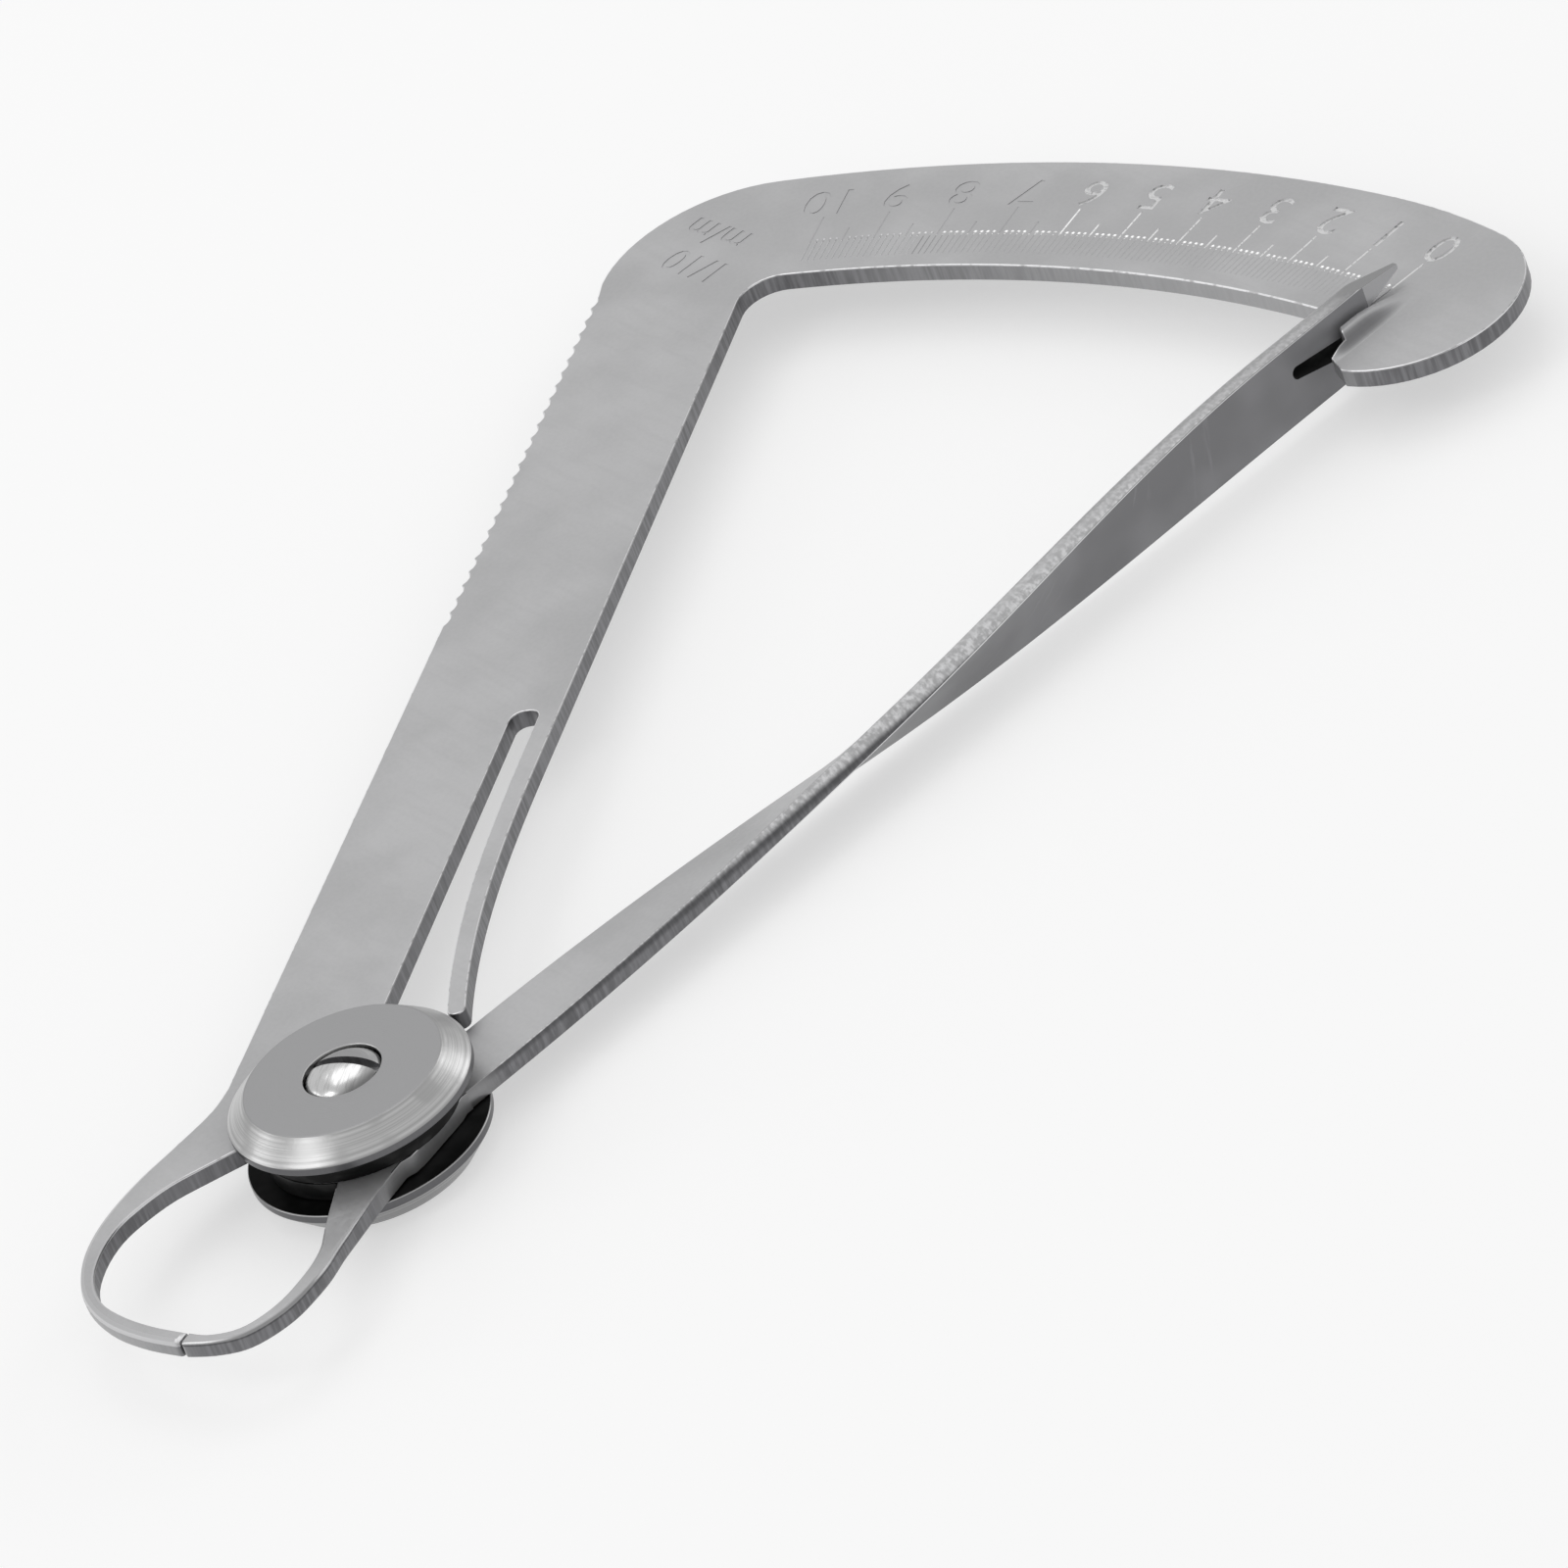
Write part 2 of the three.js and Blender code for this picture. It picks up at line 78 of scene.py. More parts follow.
# Levels, from the frame
PLATE_BOTTOM = level("frame_plate", 0)
PLATE_TOP = level("frame_plate", 1)
SHEET = PLATE_TOP - PLATE_BOTTOM
BACK_DISC_TOP = level("back_disc", 1)
STACK_TOP = level("front_disc", 1)
DISC_RADIUS = level("front_disc", 1, axis=0)
SCREW_RADIUS = level("pivot_screw", 1, axis=0)
SCREW_SEAT = STACK_TOP - 1.1
ARM_BOTTOM = BACK_DISC_TOP + 0.05
LAYER_STEP = PLATE_BOTTOM - ARM_BOTTOM

# Scale: radii of its inner rim, of both ends of its marks and of the feet of its numerals.
# Headings are in degrees, clockwise from +Y as seen from above
SCALE_INNER = 75.5
ZERO_HEADING = 15.604
DEGREES_PER_MM = 3.017
SCALE_LENGTH = 10
MARK_START = 76.7
TENTH_END = 78.8
HALF_END = 79.8
WHOLE_END = 81.2
NUMERAL_FOOT = 84.1
# Marks past this many millimetres were cut lightly, and stay as dull as the sheet
LIGHT_CUT = 6.3
# Dot that the cutter left just beyond the outer end of each fine line
DOT_RADIUS = 0.13
FINE_END = TENTH_END - 1.4 * DOT_RADIUS
# Shares of the full depth: of a fine line, of one past DEEP_CUT millimetres, and of a light mark
FINE_SHARE = 0.3
DEEP_SHARE = 0.6
DEEP_CUT = 8.2
LIGHT_SHARE = 0.4
# Between a fine foot and the longer line beyond it, so that their cutters stay apart
GRAVER_GAP = 0.04
# Height of the built-in font's numerals at size 1
FONT_HEIGHT = 0.7
UNIT_SIGNS = (("1/10", (-26.14, 73.13)), ("m/m", (-26.74, 76.30)))
UNIT_HEADING = 195
UNIT_HEIGHT = 2.0

# Pointer arm: the strip's line in plan, and where it twists and climbs
POINTER_HEADING = 14.05
POINTER_OFFSET = 2.03
POINTER_LINE = (POINTER_HEADING, POINTER_OFFSET)
STRIP_WIDTH = 4.2
STRIP_ROOT_WIDTH = 4.5
STRIP_END_WIDTH = 4.8
STRIP_RIM_SHARE = 0.6
STRIP_START = 3
TWIST_START = 8
RISE_START = 38
TWIST_END = SCALE_INNER - 6.5
WALL_CROWN = 0.12
# Slit that straddles the scale: its start, its room above and below the sheet, the radius of its
# closed end and the lift of that end, and the slant that ends just before it runs level
SLIT_START = SCALE_INNER - 5.5
SLIT_ROOM = 0.12
SLIT_NOSE = 0.4
SLIT_LIFT = 0.82
SLIT_SLANT = 0.65
SLANT_END = SCALE_INNER - 0.2
SLIT_LEVEL = SCALE_INNER - 0.08
# Prong below the slit, and the point above it, which thins to a blunt end
LOWER_PRONG_END = SCALE_INNER + 2.5
LOWER_PRONG_CORNER = 1.5
TIP_SHOULDER = SCALE_INNER - 0.3
STRIP_END = SCALE_INNER + 3.9
TIP_THIN = SCALE_INNER + 0.9
TIP_FLAT = SCALE_INNER + 1.1
TIP_HEIGHT = 0.85
TIP_BLUNT = 0.3

# Tab of the paddle beside the strip: its place along the strip, and to the right of its middle
TAB_START = 71.6
TAB_FULL = (73.2, 74.8)
TAB_END = 79.5
TAB_LEFT = (0.6, 0.95)
TAB_RIGHT = (1.35, 2.25)
TAB_STEPS = 20
TAB_CUTS = (0.7, 0.8, 0.9, 1.0, 1.15, 1.3, 1.45, 1.6, 1.75, 1.9, 2.05, 2.2)

# Sides towards which a wall or slope is painted dark or light, as a painted reflection of that end of the
# room
DIM_SIDE = (0.97, -0.24, 0)
LIT_SIDE = (-0.9, -0.6, 0)

# Tongue: its inner edge line and its root
TONGUE_HEADING = -18.5
TONGUE_EDGE = 2.18
TONGUE_LINE = (TONGUE_HEADING, TONGUE_EDGE)
TONGUE_WIDTH = 1.2
TONGUE_ROOT = 32.58
TONGUE_TIP = 7.1
# The round end of the gap beside the root: where its side walls end, and where it ends itself
GAP_CORNER = 32.8475
GAP_END = 33.27

# Walls of the sheets that lie further right than this show beside the discs
OPEN_SIDE = 3.4
# The arm's eye, cut flat on its right
EYE_RADIUS = 5.6
EYE_SIDE = 5.1
# Claws: a place between them, where their rims widen, where their tips meet and the notch there,
# and the width of an inner rim as a share of an outer one
CLAW_MIDDLE = (0.8, -12, 0)
RIM_WIDENS = (4, 11)
TIPS_X = 2.2
TIPS_Y = -19.4
TIP_NOTCH = 0.2
INNER_SHARE = 0.45

# A sheet's face is level past this slope, and a rim past the lesser one
LEVEL_SLOPE = 0.95
RIM_SLOPE = 0.3
# Share of the discs' radius within which the sheets' faces are out of sight
HIDDEN_SHARE = 0.93
# Share of the discs' radius within which no rim of a sheet is rounded
PLAIN_SHARE = 0.8

# Screw slot's heading
SAW_HEADING = 79

# Camera, from the photograph's perspective
CAMERA_PLACE = (334.737, -295.115, 290.265)
CAMERA_RIGHT = (0.793892, 0.522138, -0.311620)
CAMERA_DOWN = (0.089653, -0.607395, -0.789325)
CAMERA_LENS = 231.9
LAMP_AIM = (0, 0.035, 0)


def polar(radius, heading):
    """A point in plan, from its distance and heading round the pivot."""
    turn = math.radians(heading)
    return Vector((radius * math.sin(turn), radius * math.cos(turn)))


def along_line(heading, offset, distance):
    """A point in plan beside a line of that heading: offset is to its right."""
    return polar(distance, heading) + polar(offset, heading + 90)


def beside_line(place, heading, offset):
    """How far a place in plan is along such a line, and to its right."""
    return place.xy.dot(polar(1, heading)), place.xy.dot(polar(1, heading + 90)) - offset


def upright(edge):
    """Whether an edge runs up through a sheet."""
    return abs(edge.verts[0].co.z - edge.verts[1].co.z) > 0.5 * SHEET


def ease(value, start, end):
    """Smooth step from 0 at start to 1 at end."""
    share = min(1, max(0, (value - start) / (end - start)))
    return share * share * (3 - 2 * share)


def linear(value):
    """The linear colour of an sRGB hex value."""
    channels = [int(value[i:i + 2], 16) / 255 for i in (1, 3, 5)]
    return [c / 12.92 if c <= 0.04045 else ((c + 0.055) / 1.055) ** 2.4 for c in channels]


# Editing helpers

def new_object(name, data):
    """Adds an object with that mesh, curve, lamp or camera to the scene."""
    added = bpy.data.objects.new(name, data)
    bpy.context.scene.collection.objects.link(added)
    return added


def primitive(add_shape, name, **settings):
    """Adds a primitive by its operator, with nothing else selected."""
    bpy.ops.object.select_all(action="DESELECT")
    add_shape(**settings)
    added = bpy.context.active_object
    added.name = name
    return added


def pick(piece, *others):
    """Selects these objects and nothing else, with the first one active."""
    bpy.ops.object.select_all(action="DESELECT")
    for each in (piece, *others):
        each.select_set(True)
    bpy.context.view_layer.objects.active = piece


def edit(piece):
    pick(piece)
    bpy.ops.object.mode_set(mode="EDIT")
    bpy.ops.mesh.select_all(action="SELECT")


def leave():
    bpy.ops.object.mode_set(mode="OBJECT")


def choose(piece, kind, test):
    """In edit mode, selects the vertices, edges or faces that pass the test, and nothing else."""
    bpy.ops.mesh.select_mode(type=kind)
    bpy.ops.mesh.select_all(action="DESELECT")
    shape = bmesh.from_edit_mesh(piece.data)
    shape.normal_update()
    for item in {"VERT": shape.verts, "EDGE": shape.edges, "FACE": shape.faces}[kind]:
        if test(item):
            item.select_set(True)
    shape.select_flush_mode()
    bmesh.update_edit_mesh(piece.data)


def copy_of_node(node, name):
    """A merged copy of a CAD node's mesh, in millimetres, with its flat faces made whole."""
    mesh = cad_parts[node].data.copy()
    mesh.materials.clear()
    piece = new_object(name, mesh)
    mesh.transform(Matrix.Scale(1 / MM, 4))
    edit(piece)
    bpy.ops.mesh.customdata_custom_splitnormals_clear()
    bpy.ops.mesh.remove_doubles(threshold=MERGE_GAP)
    bpy.ops.mesh.dissolve_limited(angle_limit=math.radians(0.3))
    leave()
    return piece


def close_up(piece, gap=0.001):
    """Merges the loose corners of a mesh and turns its faces outwards."""
    edit(piece)
    bpy.ops.mesh.remove_doubles(threshold=gap)
    bpy.ops.mesh.normals_make_consistent(inside=False)
    leave()


def apply_modifier(piece, kind, **settings):
    pick(piece)
    modifier = piece.modifiers.new(kind.title(), kind)
    for name, value in settings.items():
        setattr(modifier, name, value)
    bpy.ops.object.modifier_apply(modifier=modifier.name)


def combine(piece, tool, operation):
    """Joins or cuts a piece with a tool object, which is then deleted."""
    apply_modifier(
        piece, "BOOLEAN", object=tool, operation=operation, solver="EXACT", material_mode="TRANSFER"
    )
    bpy.data.objects.remove(tool)


def standing(place, heading):
    """The matrix that turns +Y to a heading and brings the origin to a place."""
    return Matrix.Translation(place) @ Matrix.Rotation(-math.radians(heading), 4, "Z")


def bevel_rims(piece, width_at, segments=2, least_turn=40):
    """Rounds each edge where the surface turns sharply. width_at gives the width at a place, or 0."""
    # A stray short edge would spoil the rounding
    close_up(piece, SHORT_EDGE)
    shape = bmesh.new()
    shape.from_mesh(piece.data)
    widths = []
    for edge in shape.edges:
        sharp = len(edge.link_faces) == 2 and edge.calc_face_angle(0) > math.radians(least_turn)
        middle = (edge.verts[0].co + edge.verts[1].co) / 2
        widths.append(width_at(middle, edge) if sharp else 0)
    shape.free()
    widest = max(widths)
    weights = piece.data.attributes.new("bevel_weight_edge", "FLOAT", "EDGE")
    weights.data.foreach_set("value", [width / widest for width in widths])
    apply_modifier(
        piece, "BEVEL", limit_method="WEIGHT", width=widest, segments=segments,
        use_clamp_overlap=False, miter_outer="MITER_SHARP", loop_slide=False
    )


def smooth(piece, angle=35):
    """Smooth shading that keeps the level faces flat and the sharp edges sharp."""
    pick(piece)
    bpy.ops.object.shade_smooth_by_angle(angle=math.radians(angle), keep_sharp_edges=False)
    for face in piece.data.polygons:
        if abs(face.normal.z) > 0.9999:
            face.use_smooth = False
    apply_modifier(piece, "WEIGHTED_NORMAL", mode="FACE_AREA_WITH_ANGLE", weight=50, keep_sharp=True)


def dress(piece, materials, pick_material):
    """Gives each face the material that pick_material names by its index in the list."""
    piece.data.materials.clear()
    for material in materials:
        piece.data.materials.append(material)
    for face in piece.data.polygons:
        face.material_index = pick_material(face)


def settle(piece, body, slot, *nodes):
    """Brings a finished piece to metres, fixes its body and hides what it stands for. The slot is not used.
    """
    piece.data.transform(Matrix.Scale(MM, 4))
    piece.data.update()
    if body:
        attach(piece, body)
    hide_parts(*nodes)


# Materials

def add(tree, kind, feeds=(), output=0, **settings):
    """Adds a node and gives one of its outputs. feeds are input values or links, by name or in order."""
    node = tree.nodes.new(kind)
    for name, value in settings.items():
        setattr(node, name, value)
    for name, value in feeds.items() if isinstance(feeds, dict) else enumerate(feeds):
        socket = node.inputs[name]
        if isinstance(value, bpy.types.NodeSocket):
            tree.links.new(value, socket)
        else:
            socket.default_value = (*value, 1) if socket.type == "RGBA" else value
    return node if output is None else node.outputs[output]


def new_material(name):
    """The empty tree of a new material, which takes the place of one of the same name."""
    old = bpy.data.materials.get(name)
    if old:
        bpy.data.materials.remove(old)
    material = bpy.data.materials.new(name)
    material.use_nodes = True
    material.node_tree.nodes.clear()
    return material.node_tree


def shade(tree, feeds):
    """Ends a material with its shader, a full metal unless the feeds say otherwise."""
    surface = add(tree, "ShaderNodeBsdfPrincipled", {"Metallic": 1.0, **feeds})
    add(tree, "ShaderNodeOutputMaterial", {"Surface": surface}, None)


def scaled(colour, factor):
    return [each * factor for each in colour]


def grain(tree, size_mm, detail=2.0, turn=0, place=None):
    """Noise whose cells have that size in millimetres, after a turn about +Z in degrees."""
    place = place or add(tree, "ShaderNodeTexCoord", output="Object")
    turned = add(tree, "ShaderNodeMapping", {"Vector": place, "Rotation": (0, 0, math.radians(turn))})
    fineness = [1 / (MM * each) for each in size_mm]
    cells = add(tree, "ShaderNodeMapping", {"Vector": turned, "Scale": fineness})
    return add(tree, "ShaderNodeTexNoise", {"Vector": cells, "Scale": 1.0, "Detail": detail})


def layered(tree, base, *layers):
    """Lays colours over a base. Each layer is a colour and the spans whose product is its share.

    A span is a value, where it starts and ends its smooth rise, and what that gives: 0 to 1 if left out.
    """
    for colour, *spans in layers:
        share, *others = [
            add(tree, "ShaderNodeMapRange", span, interpolation_type="SMOOTHSTEP") for span in spans
        ]
        for other in others:
            share = add(tree, "ShaderNodeMath", (share, other), operation="MULTIPLY")
        base = add(tree, "ShaderNodeMix", {"Factor": share, 6: base, 7: colour}, 2, data_type="RGBA")
    return base


def facing(tree, side=(0, 0, 1)):
    """How far a surface faces a side: 1 straight to it, 0 across. The side is up unless given."""
    normal = add(tree, "ShaderNodeNewGeometry", output="Normal")
    return add(tree, "ShaderNodeVectorMath", (normal, side), "Value", operation="DOT_PRODUCT")


def measured(tree):
    """The distance from the pivot, and the place along each axis, both in millimetres."""
    place = add(tree, "ShaderNodeTexCoord", output="Object")
    place_mm = add(tree, "ShaderNodeVectorMath", {0: place, "Scale": 1 / MM}, operation="SCALE")
    radius = add(tree, "ShaderNodeVectorMath", (place_mm,), "Value", operation="LENGTH")
    return radius, add(tree, "ShaderNodeSeparateXYZ", {"Vector": place_mm}, None).outputs


def satin_blasted_stainless(settings):
    """Stainless sheet, bead blasted on its faces: even, matt, with soft clouds and faint streaks, and
    painted shade on slopes that face the dim side.
    """
    tree = new_material("satin_blasted_stainless")
    clouds = grain(tree, (9, 9, 9), detail=3.0)
    streaks = grain(tree, (6, 0.5, 6), turn=20)
    grit = grain(tree, (0.3, 0.3, 0.3))
    darker = scaled(settings.face_colour, 0.93)
    shade(tree, {
        "Base Color": layered(
            tree, darker,
            (scaled(settings.face_colour, 1.07), (clouds, 0.35, 0.65)),
            (darker, (streaks, 0.4, 0.8, 0.0, 0.35)),
            # Painted shade: slopes that face the dim side, such as the far slope of the paddle's tab, take
            # the shaded edge colour
            (settings.edge_colour, (facing(tree, DIM_SIDE), 0.28, 0.9, 0.0, 0.9))
        ),
        "Metallic": 0.6,
        "Roughness": add(
            tree, "ShaderNodeMapRange", (grit, 0.3, 0.7, 0.44, 0.54), interpolation_type="SMOOTHSTEP"
        ),
        "Normal": add(tree, "ShaderNodeBump", {"Height": grit, "Distance": 0.01 * MM, "Strength": 0.5})
    })


def ground_edge_stainless(settings):
    """Cut edge of the sheet, ground across, with streaks through the gauge; darker than the faces as
    painted shade, and painted lighter or darker by slope and side.
    """
    tree = new_material("ground_edge_stainless")
    # Real grinding lines are about 0.05 mm apart and are drawn at 0.25 mm so that they show
    lines = grain(tree, (0.25, 0.25, 3.0), detail=3.0)
    patches = grain(tree, (5, 5, 5))
    dark = settings.edge_colour
    lighter = scaled(dark, 1.7)
    face = settings.face_colour
    dull = scaled(face, 0.6)
    streaks = (lines, 0.35, 0.7)
    upward = facing(tree)
    radius, axes = measured(tree)
    base = layered(
        tree, dark, (lighter, streaks), (lighter, (patches, 0.4, 0.75, 0.0, 0.5)),
        # Painted light on walls that face the lit side
        (face, (facing(tree, LIT_SIDE), 0.28, 0.8, 0.0, 0.75)),
        # Painted reflection by slope: a wall that tilts up is painted dark, then bright, then as light as a
        # face
        (layered(tree, scaled(dark, 0.75), (dark, streaks)), (upward, 0.12, 0.34)),
        (layered(tree, face, (scaled(face, 1.6), streaks)), (upward, 0.4, 0.66)),
        (layered(tree, scaled(face, 0.8), (face, streaks)), (upward, 0.84, 0.98)),
        # Painted light on the arm's wall where it passes the discs, against the discs' shade on it
        (dull, (axes["X"], OPEN_SIDE, OPEN_SIDE + 0.8), (radius, 8.5, 7, 0.0, 0.85)),
        # The pointer's tip was left duller
        (dull, (axes["Z"], 4.7, 5.2), (radius, SCALE_INNER - 3, SCALE_INNER + 1, 0.0, 0.9))
    )
    shade(tree, {
        "Base Color": base, "Metallic": 0.8, "Roughness": 0.42,
        "Normal": add(tree, "ShaderNodeBump", {"Height": lines, "Distance": 0.02 * MM, "Strength": 0.6})
    })


def mill_back_stainless(settings):
    """Back of the sheet as rolled: smoother, with fine scratches across the strip; its darker colour is
    painted shade.
    """
    tree = new_material("mill_back_stainless")
    scratches = grain(tree, (0.18, 5.0, 5.0), detail=3.0, turn=30)
    clouds = grain(tree, (7, 7, 7))
    dark = settings.back_colour
    lighter = scaled(dark, 1.45)
    radius, axes = measured(tree)
    base = layered(
        tree, dark, (lighter, (clouds, 0.35, 0.7)), (lighter, (scratches, 0.62, 0.75, 0.0, 0.6)),
        # Painted light on the prong above the slit, lifting the dark it mirrors from the scale
        (
            scaled(dark, 1.8), (axes["Z"], PLATE_TOP - 0.2, PLATE_TOP + 0.5),
            (radius, SLIT_START, SLIT_START + 3)
        )
    )
    shade(tree, {
        "Base Color": base, "Metallic": 0.6, "Roughness": 0.4,
        "Normal": add(tree, "ShaderNodeBump", {"Height": scratches, "Distance": 0.01 * MM, "Strength": 0.4})
    })


def burnished_rim_stainless(settings):
    """Edge of the sheet painted bright as a fine highlight line, with a grain of brighter patches."""
    tree = new_material("burnished_rim_stainless")
    highlight_grain = grain(tree, (0.5, 0.5, 0.5))
    face = settings.face_colour
    bright = scaled(face, 1.7)
    axes = measured(tree)[1]
    base = layered(
        tree, face, (bright, (highlight_grain, 0.3, 0.52)),
        # The claws' rims get an even painted highlight, less bright than the arms' edges
        (scaled(face, 1.25), (axes["Y"], -6, -9)),
        # Painted shade on rims that face the dim side
        (scaled(face, 0.6), (facing(tree, DIM_SIDE), 0.2, 0.6, 0.0, 0.85)),
        # Painted highlight on the flat beside the pointer's tip, which faces the dim side outright
        (bright, (facing(tree, DIM_SIDE), 0.86, 0.97))
    )
    shade(tree, {"Base Color": base, "Roughness": 0.3})


def engraved_stainless(settings):
    """Bare metal in the engraved marks: bright specks along each cut, partly the cut metal's own brightness
    and partly painted glints.
    """
    tree = new_material("engraved_stainless")
    specks_and_glints = grain(tree, (0.2, 0.2, 0.2), detail=1.0)
    dull = settings.face_colour
    radius, axes = measured(tree)
    fine = (radius, TENTH_END - 0.18, TENTH_END - 0.14, 0.9, 0.0)
    base = layered(
        tree, dull, (settings.mark_colour, (specks_and_glints, 0.25, 0.5)),
        # The cutter dwelt at the outer end of each fine line, and the marks get fainter towards 10
        (scaled(dull, 0.95), fine),
        (scaled(dull, 0.9), (axes["X"], -8, -16, 0.0, 0.9)),
        # The fine lines near 10 show as a dark hatch
        (scaled(dull, 0.6), fine, (axes["X"], -10, -14)),
        # The numerals are duller than the lines
        (dull, (radius, WHOLE_END + 0.1, WHOLE_END + 0.3, 0.0, 0.4))
    )
    shade(tree, {"Base Color": base, "Roughness": 0.35})


def turned_stainless(settings):
    """Lathe-turned steel: concentric tool marks that catch the light in arcs, with its colour painted by
    slope.
    """
    tree = new_material("turned_stainless")
    place = add(tree, "ShaderNodeTexCoord", output="Object")
    flat = add(tree, "ShaderNodeVectorMath", (place, (1, 1, 0)), operation="MULTIPLY")
    radius = add(tree, "ShaderNodeVectorMath", (flat,), "Value", operation="LENGTH")
    ring = add(tree, "ShaderNodeCombineXYZ", {"X": radius})
    # Tool feed is about 0.05 mm and is drawn at 0.12 mm so that it shows
    marks = grain(tree, (0.12, 1, 1), place=ring)
    grit = grain(tree, (0.25, 0.25, 0.25))
    # Painted highlights and shade along the chamfer: duller lengths a few millimetres long between brighter
    # ones
    glint_patches = grain(tree, (2.2, 2.2, 2.2), detail=1.0)
    bright = settings.chamfer_colour
    dark = scaled(bright, 0.7)
    streaks = (marks, 0.35, 0.65)
    upward = facing(tree)
    level_face = (upward, 0.85, 0.98)
    chamfer = layered(tree, dark, (bright, streaks), (dark, (glint_patches, 0.45, 0.62, 0.0, 0.8)))
    # Painted light by slope: steep walls take the shaded edge colour, and the chamfer is brighter than the
    # level face, partly its turned finish and partly painted highlight
    base = layered(
        tree, settings.edge_colour, (dark, streaks), (chamfer, (upward, 0.15, 0.5)),
        (settings.disc_colour, level_face)
    )
    flatness = add(tree, "ShaderNodeMapRange", level_face, interpolation_type="SMOOTHSTEP")
    rings = add(tree, "ShaderNodeBump", {"Height": marks, "Distance": 0.02 * MM, "Strength": 0.5})
    shade(tree, {
        "Base Color": base,
        "Roughness": add(
            tree, "ShaderNodeMapRange", (flatness, 0.0, 1.0, 0.3, 0.5), interpolation_type="SMOOTHSTEP"
        ),
        "Normal": add(tree, "ShaderNodeBump", {
            "Height": grit, "Distance": 0.008 * MM, "Strength": 0.4, "Normal": rings
        })
    })


def polished_stainless(settings):
    """Screw head: polished dome with a few driver scratches and a painted reflection on one side."""
    tree = new_material("polished_stainless")
    scratches = grain(tree, (1.2, 0.15, 1.2), turn=SAW_HEADING)
    bright = settings.screw_colour
    base = layered(
        tree, bright, (scaled(bright, 0.7), (scratches, 0.45, 0.7)),
        # Painted reflection: darker on the side that faces the dim end of the room
        (scaled(bright, 0.2), (facing(tree, DIM_SIDE), 0.25, 0.7, 0.0, 0.85))
    )
    roughness = add(
        tree, "ShaderNodeMapRange", (scratches, 0.3, 0.7, 0.16, 0.3), interpolation_type="SMOOTHSTEP"
    )
    shade(tree, {"Base Color": base, "Roughness": roughness})


def oiled_inner_steel(settings):
    """Turned inner faces painted dark as shade, with lighter patches."""
    tree = new_material("oiled_inner_steel")
    film = grain(tree, (1.5, 1.5, 0.6))
    dark = settings.inner_colour
    shade(tree, {
        "Base Color": layered(tree, dark, (scaled(dark, 2.2), (film, 0.4, 0.7))), "Roughness": 0.45
    })


def material_of(name):
    return bpy.data.materials[name]


def measure(name, description, default, low, high):
    """A number between low and high: a length in millimetres where its description says mm."""
    return FloatProperty(name=name, description=description, default=default, min=low, max=high)


def hex_colour(name, description, value):
    return FloatVectorProperty(
        name=name, description=description, subtype="COLOR", size=3, min=0, max=1, default=linear(value)
    )


class FinishSettings(bpy.types.PropertyGroup):
    face_colour: hex_colour("Face", "Blasted faces of the sheet", "#b6b6b7")
    # Painted shade: the edges' dark colour stands in for the dim room that the walls mirror
    edge_colour: hex_colour("Edge", "Ground edges of the sheet", "#666668")
    # Painted shade: the back's dark colour stands in for the dim room that it mirrors
    back_colour: hex_colour("Back", "Underside of the sheet", "#78787a")
    # Marks: the cut metal's own brightness and painted glints
    mark_colour: hex_colour("Marks", "Engraved marks and burnished rims", "#f2f2f2")
    disc_colour: hex_colour("Disc face", "Flat faces of the turned discs", "#a2a2a3")
    # Chamfer: its turned finish and painted highlight
    chamfer_colour: hex_colour("Chamfer", "Turned chamfer of the discs", "#c8c8c8")
    screw_colour: hex_colour("Screw", "Polished dome of the screw", "#d6d6d6")
    # Painted shade for the faces between the discs and in the slit
    inner_colour: hex_colour("Inside", "Oiled faces between the discs", "#222222")


class SheetSettings(bpy.types.PropertyGroup):
    rim_round: measure("Rim", "Rounding of the sheet's edges, mm", 0.08, 0.01, 0.3)
    claw_round: measure("Claw rim", "Rounding of the claws' outer edges, mm", 0.3, 0.01, 0.5)
    mark_width: measure("Mark width", "Width of an engraved line, mm", 0.12, 0.05, 0.3)
    tenth_width: measure("Tenth width", "Width of the finest lines, mm", 0.08, 0.03, 0.3)
    mark_depth: measure("Mark depth", "Depth of an engraved line, mm", 0.07, 0.02, 0.2)
    numeral_height: measure("Numerals", "Height of the numerals, mm", 2.5, 1, 4)
    tab_rise: measure("Tab", "Rise of the paddle's bent tab, mm", 0.8, 0, 1.2)
    strip_steps: IntProperty(
        name="Strip steps", description="Steps along the twisted strip", default=150, min=40, max=400
    )


class TurnedSettings(bpy.types.PropertyGroup):
    segments: IntProperty(
        name="Segments", description="Steps round a turned piece", default=128, min=24, max=256
    )
    edge_round: measure("Edge", "Rounding of a turned edge, mm", 0.07, 0.01, 0.2)


class StageSettings(bpy.types.PropertyGroup):
    floor_colour: hex_colour("Floor", "Colour of the floor", "#fafafa")
    floor_size: FloatProperty(
        name="Floor size", description="Side of the floor", default=6, min=1, max=20, unit="LENGTH"
    )
    world_light: measure("World", "Strength of the even light", 0.74, 0, 2)
    lamp_light: measure("Lamps", "Factor on the power of every lamp", 1.0, 0, 5)
    paper_white: FloatProperty(
        name="Paper white", description="How far the paper shows as plain white",
        default=0.5, min=0, max=1, subtype="FACTOR"
    )


# Sheet frame

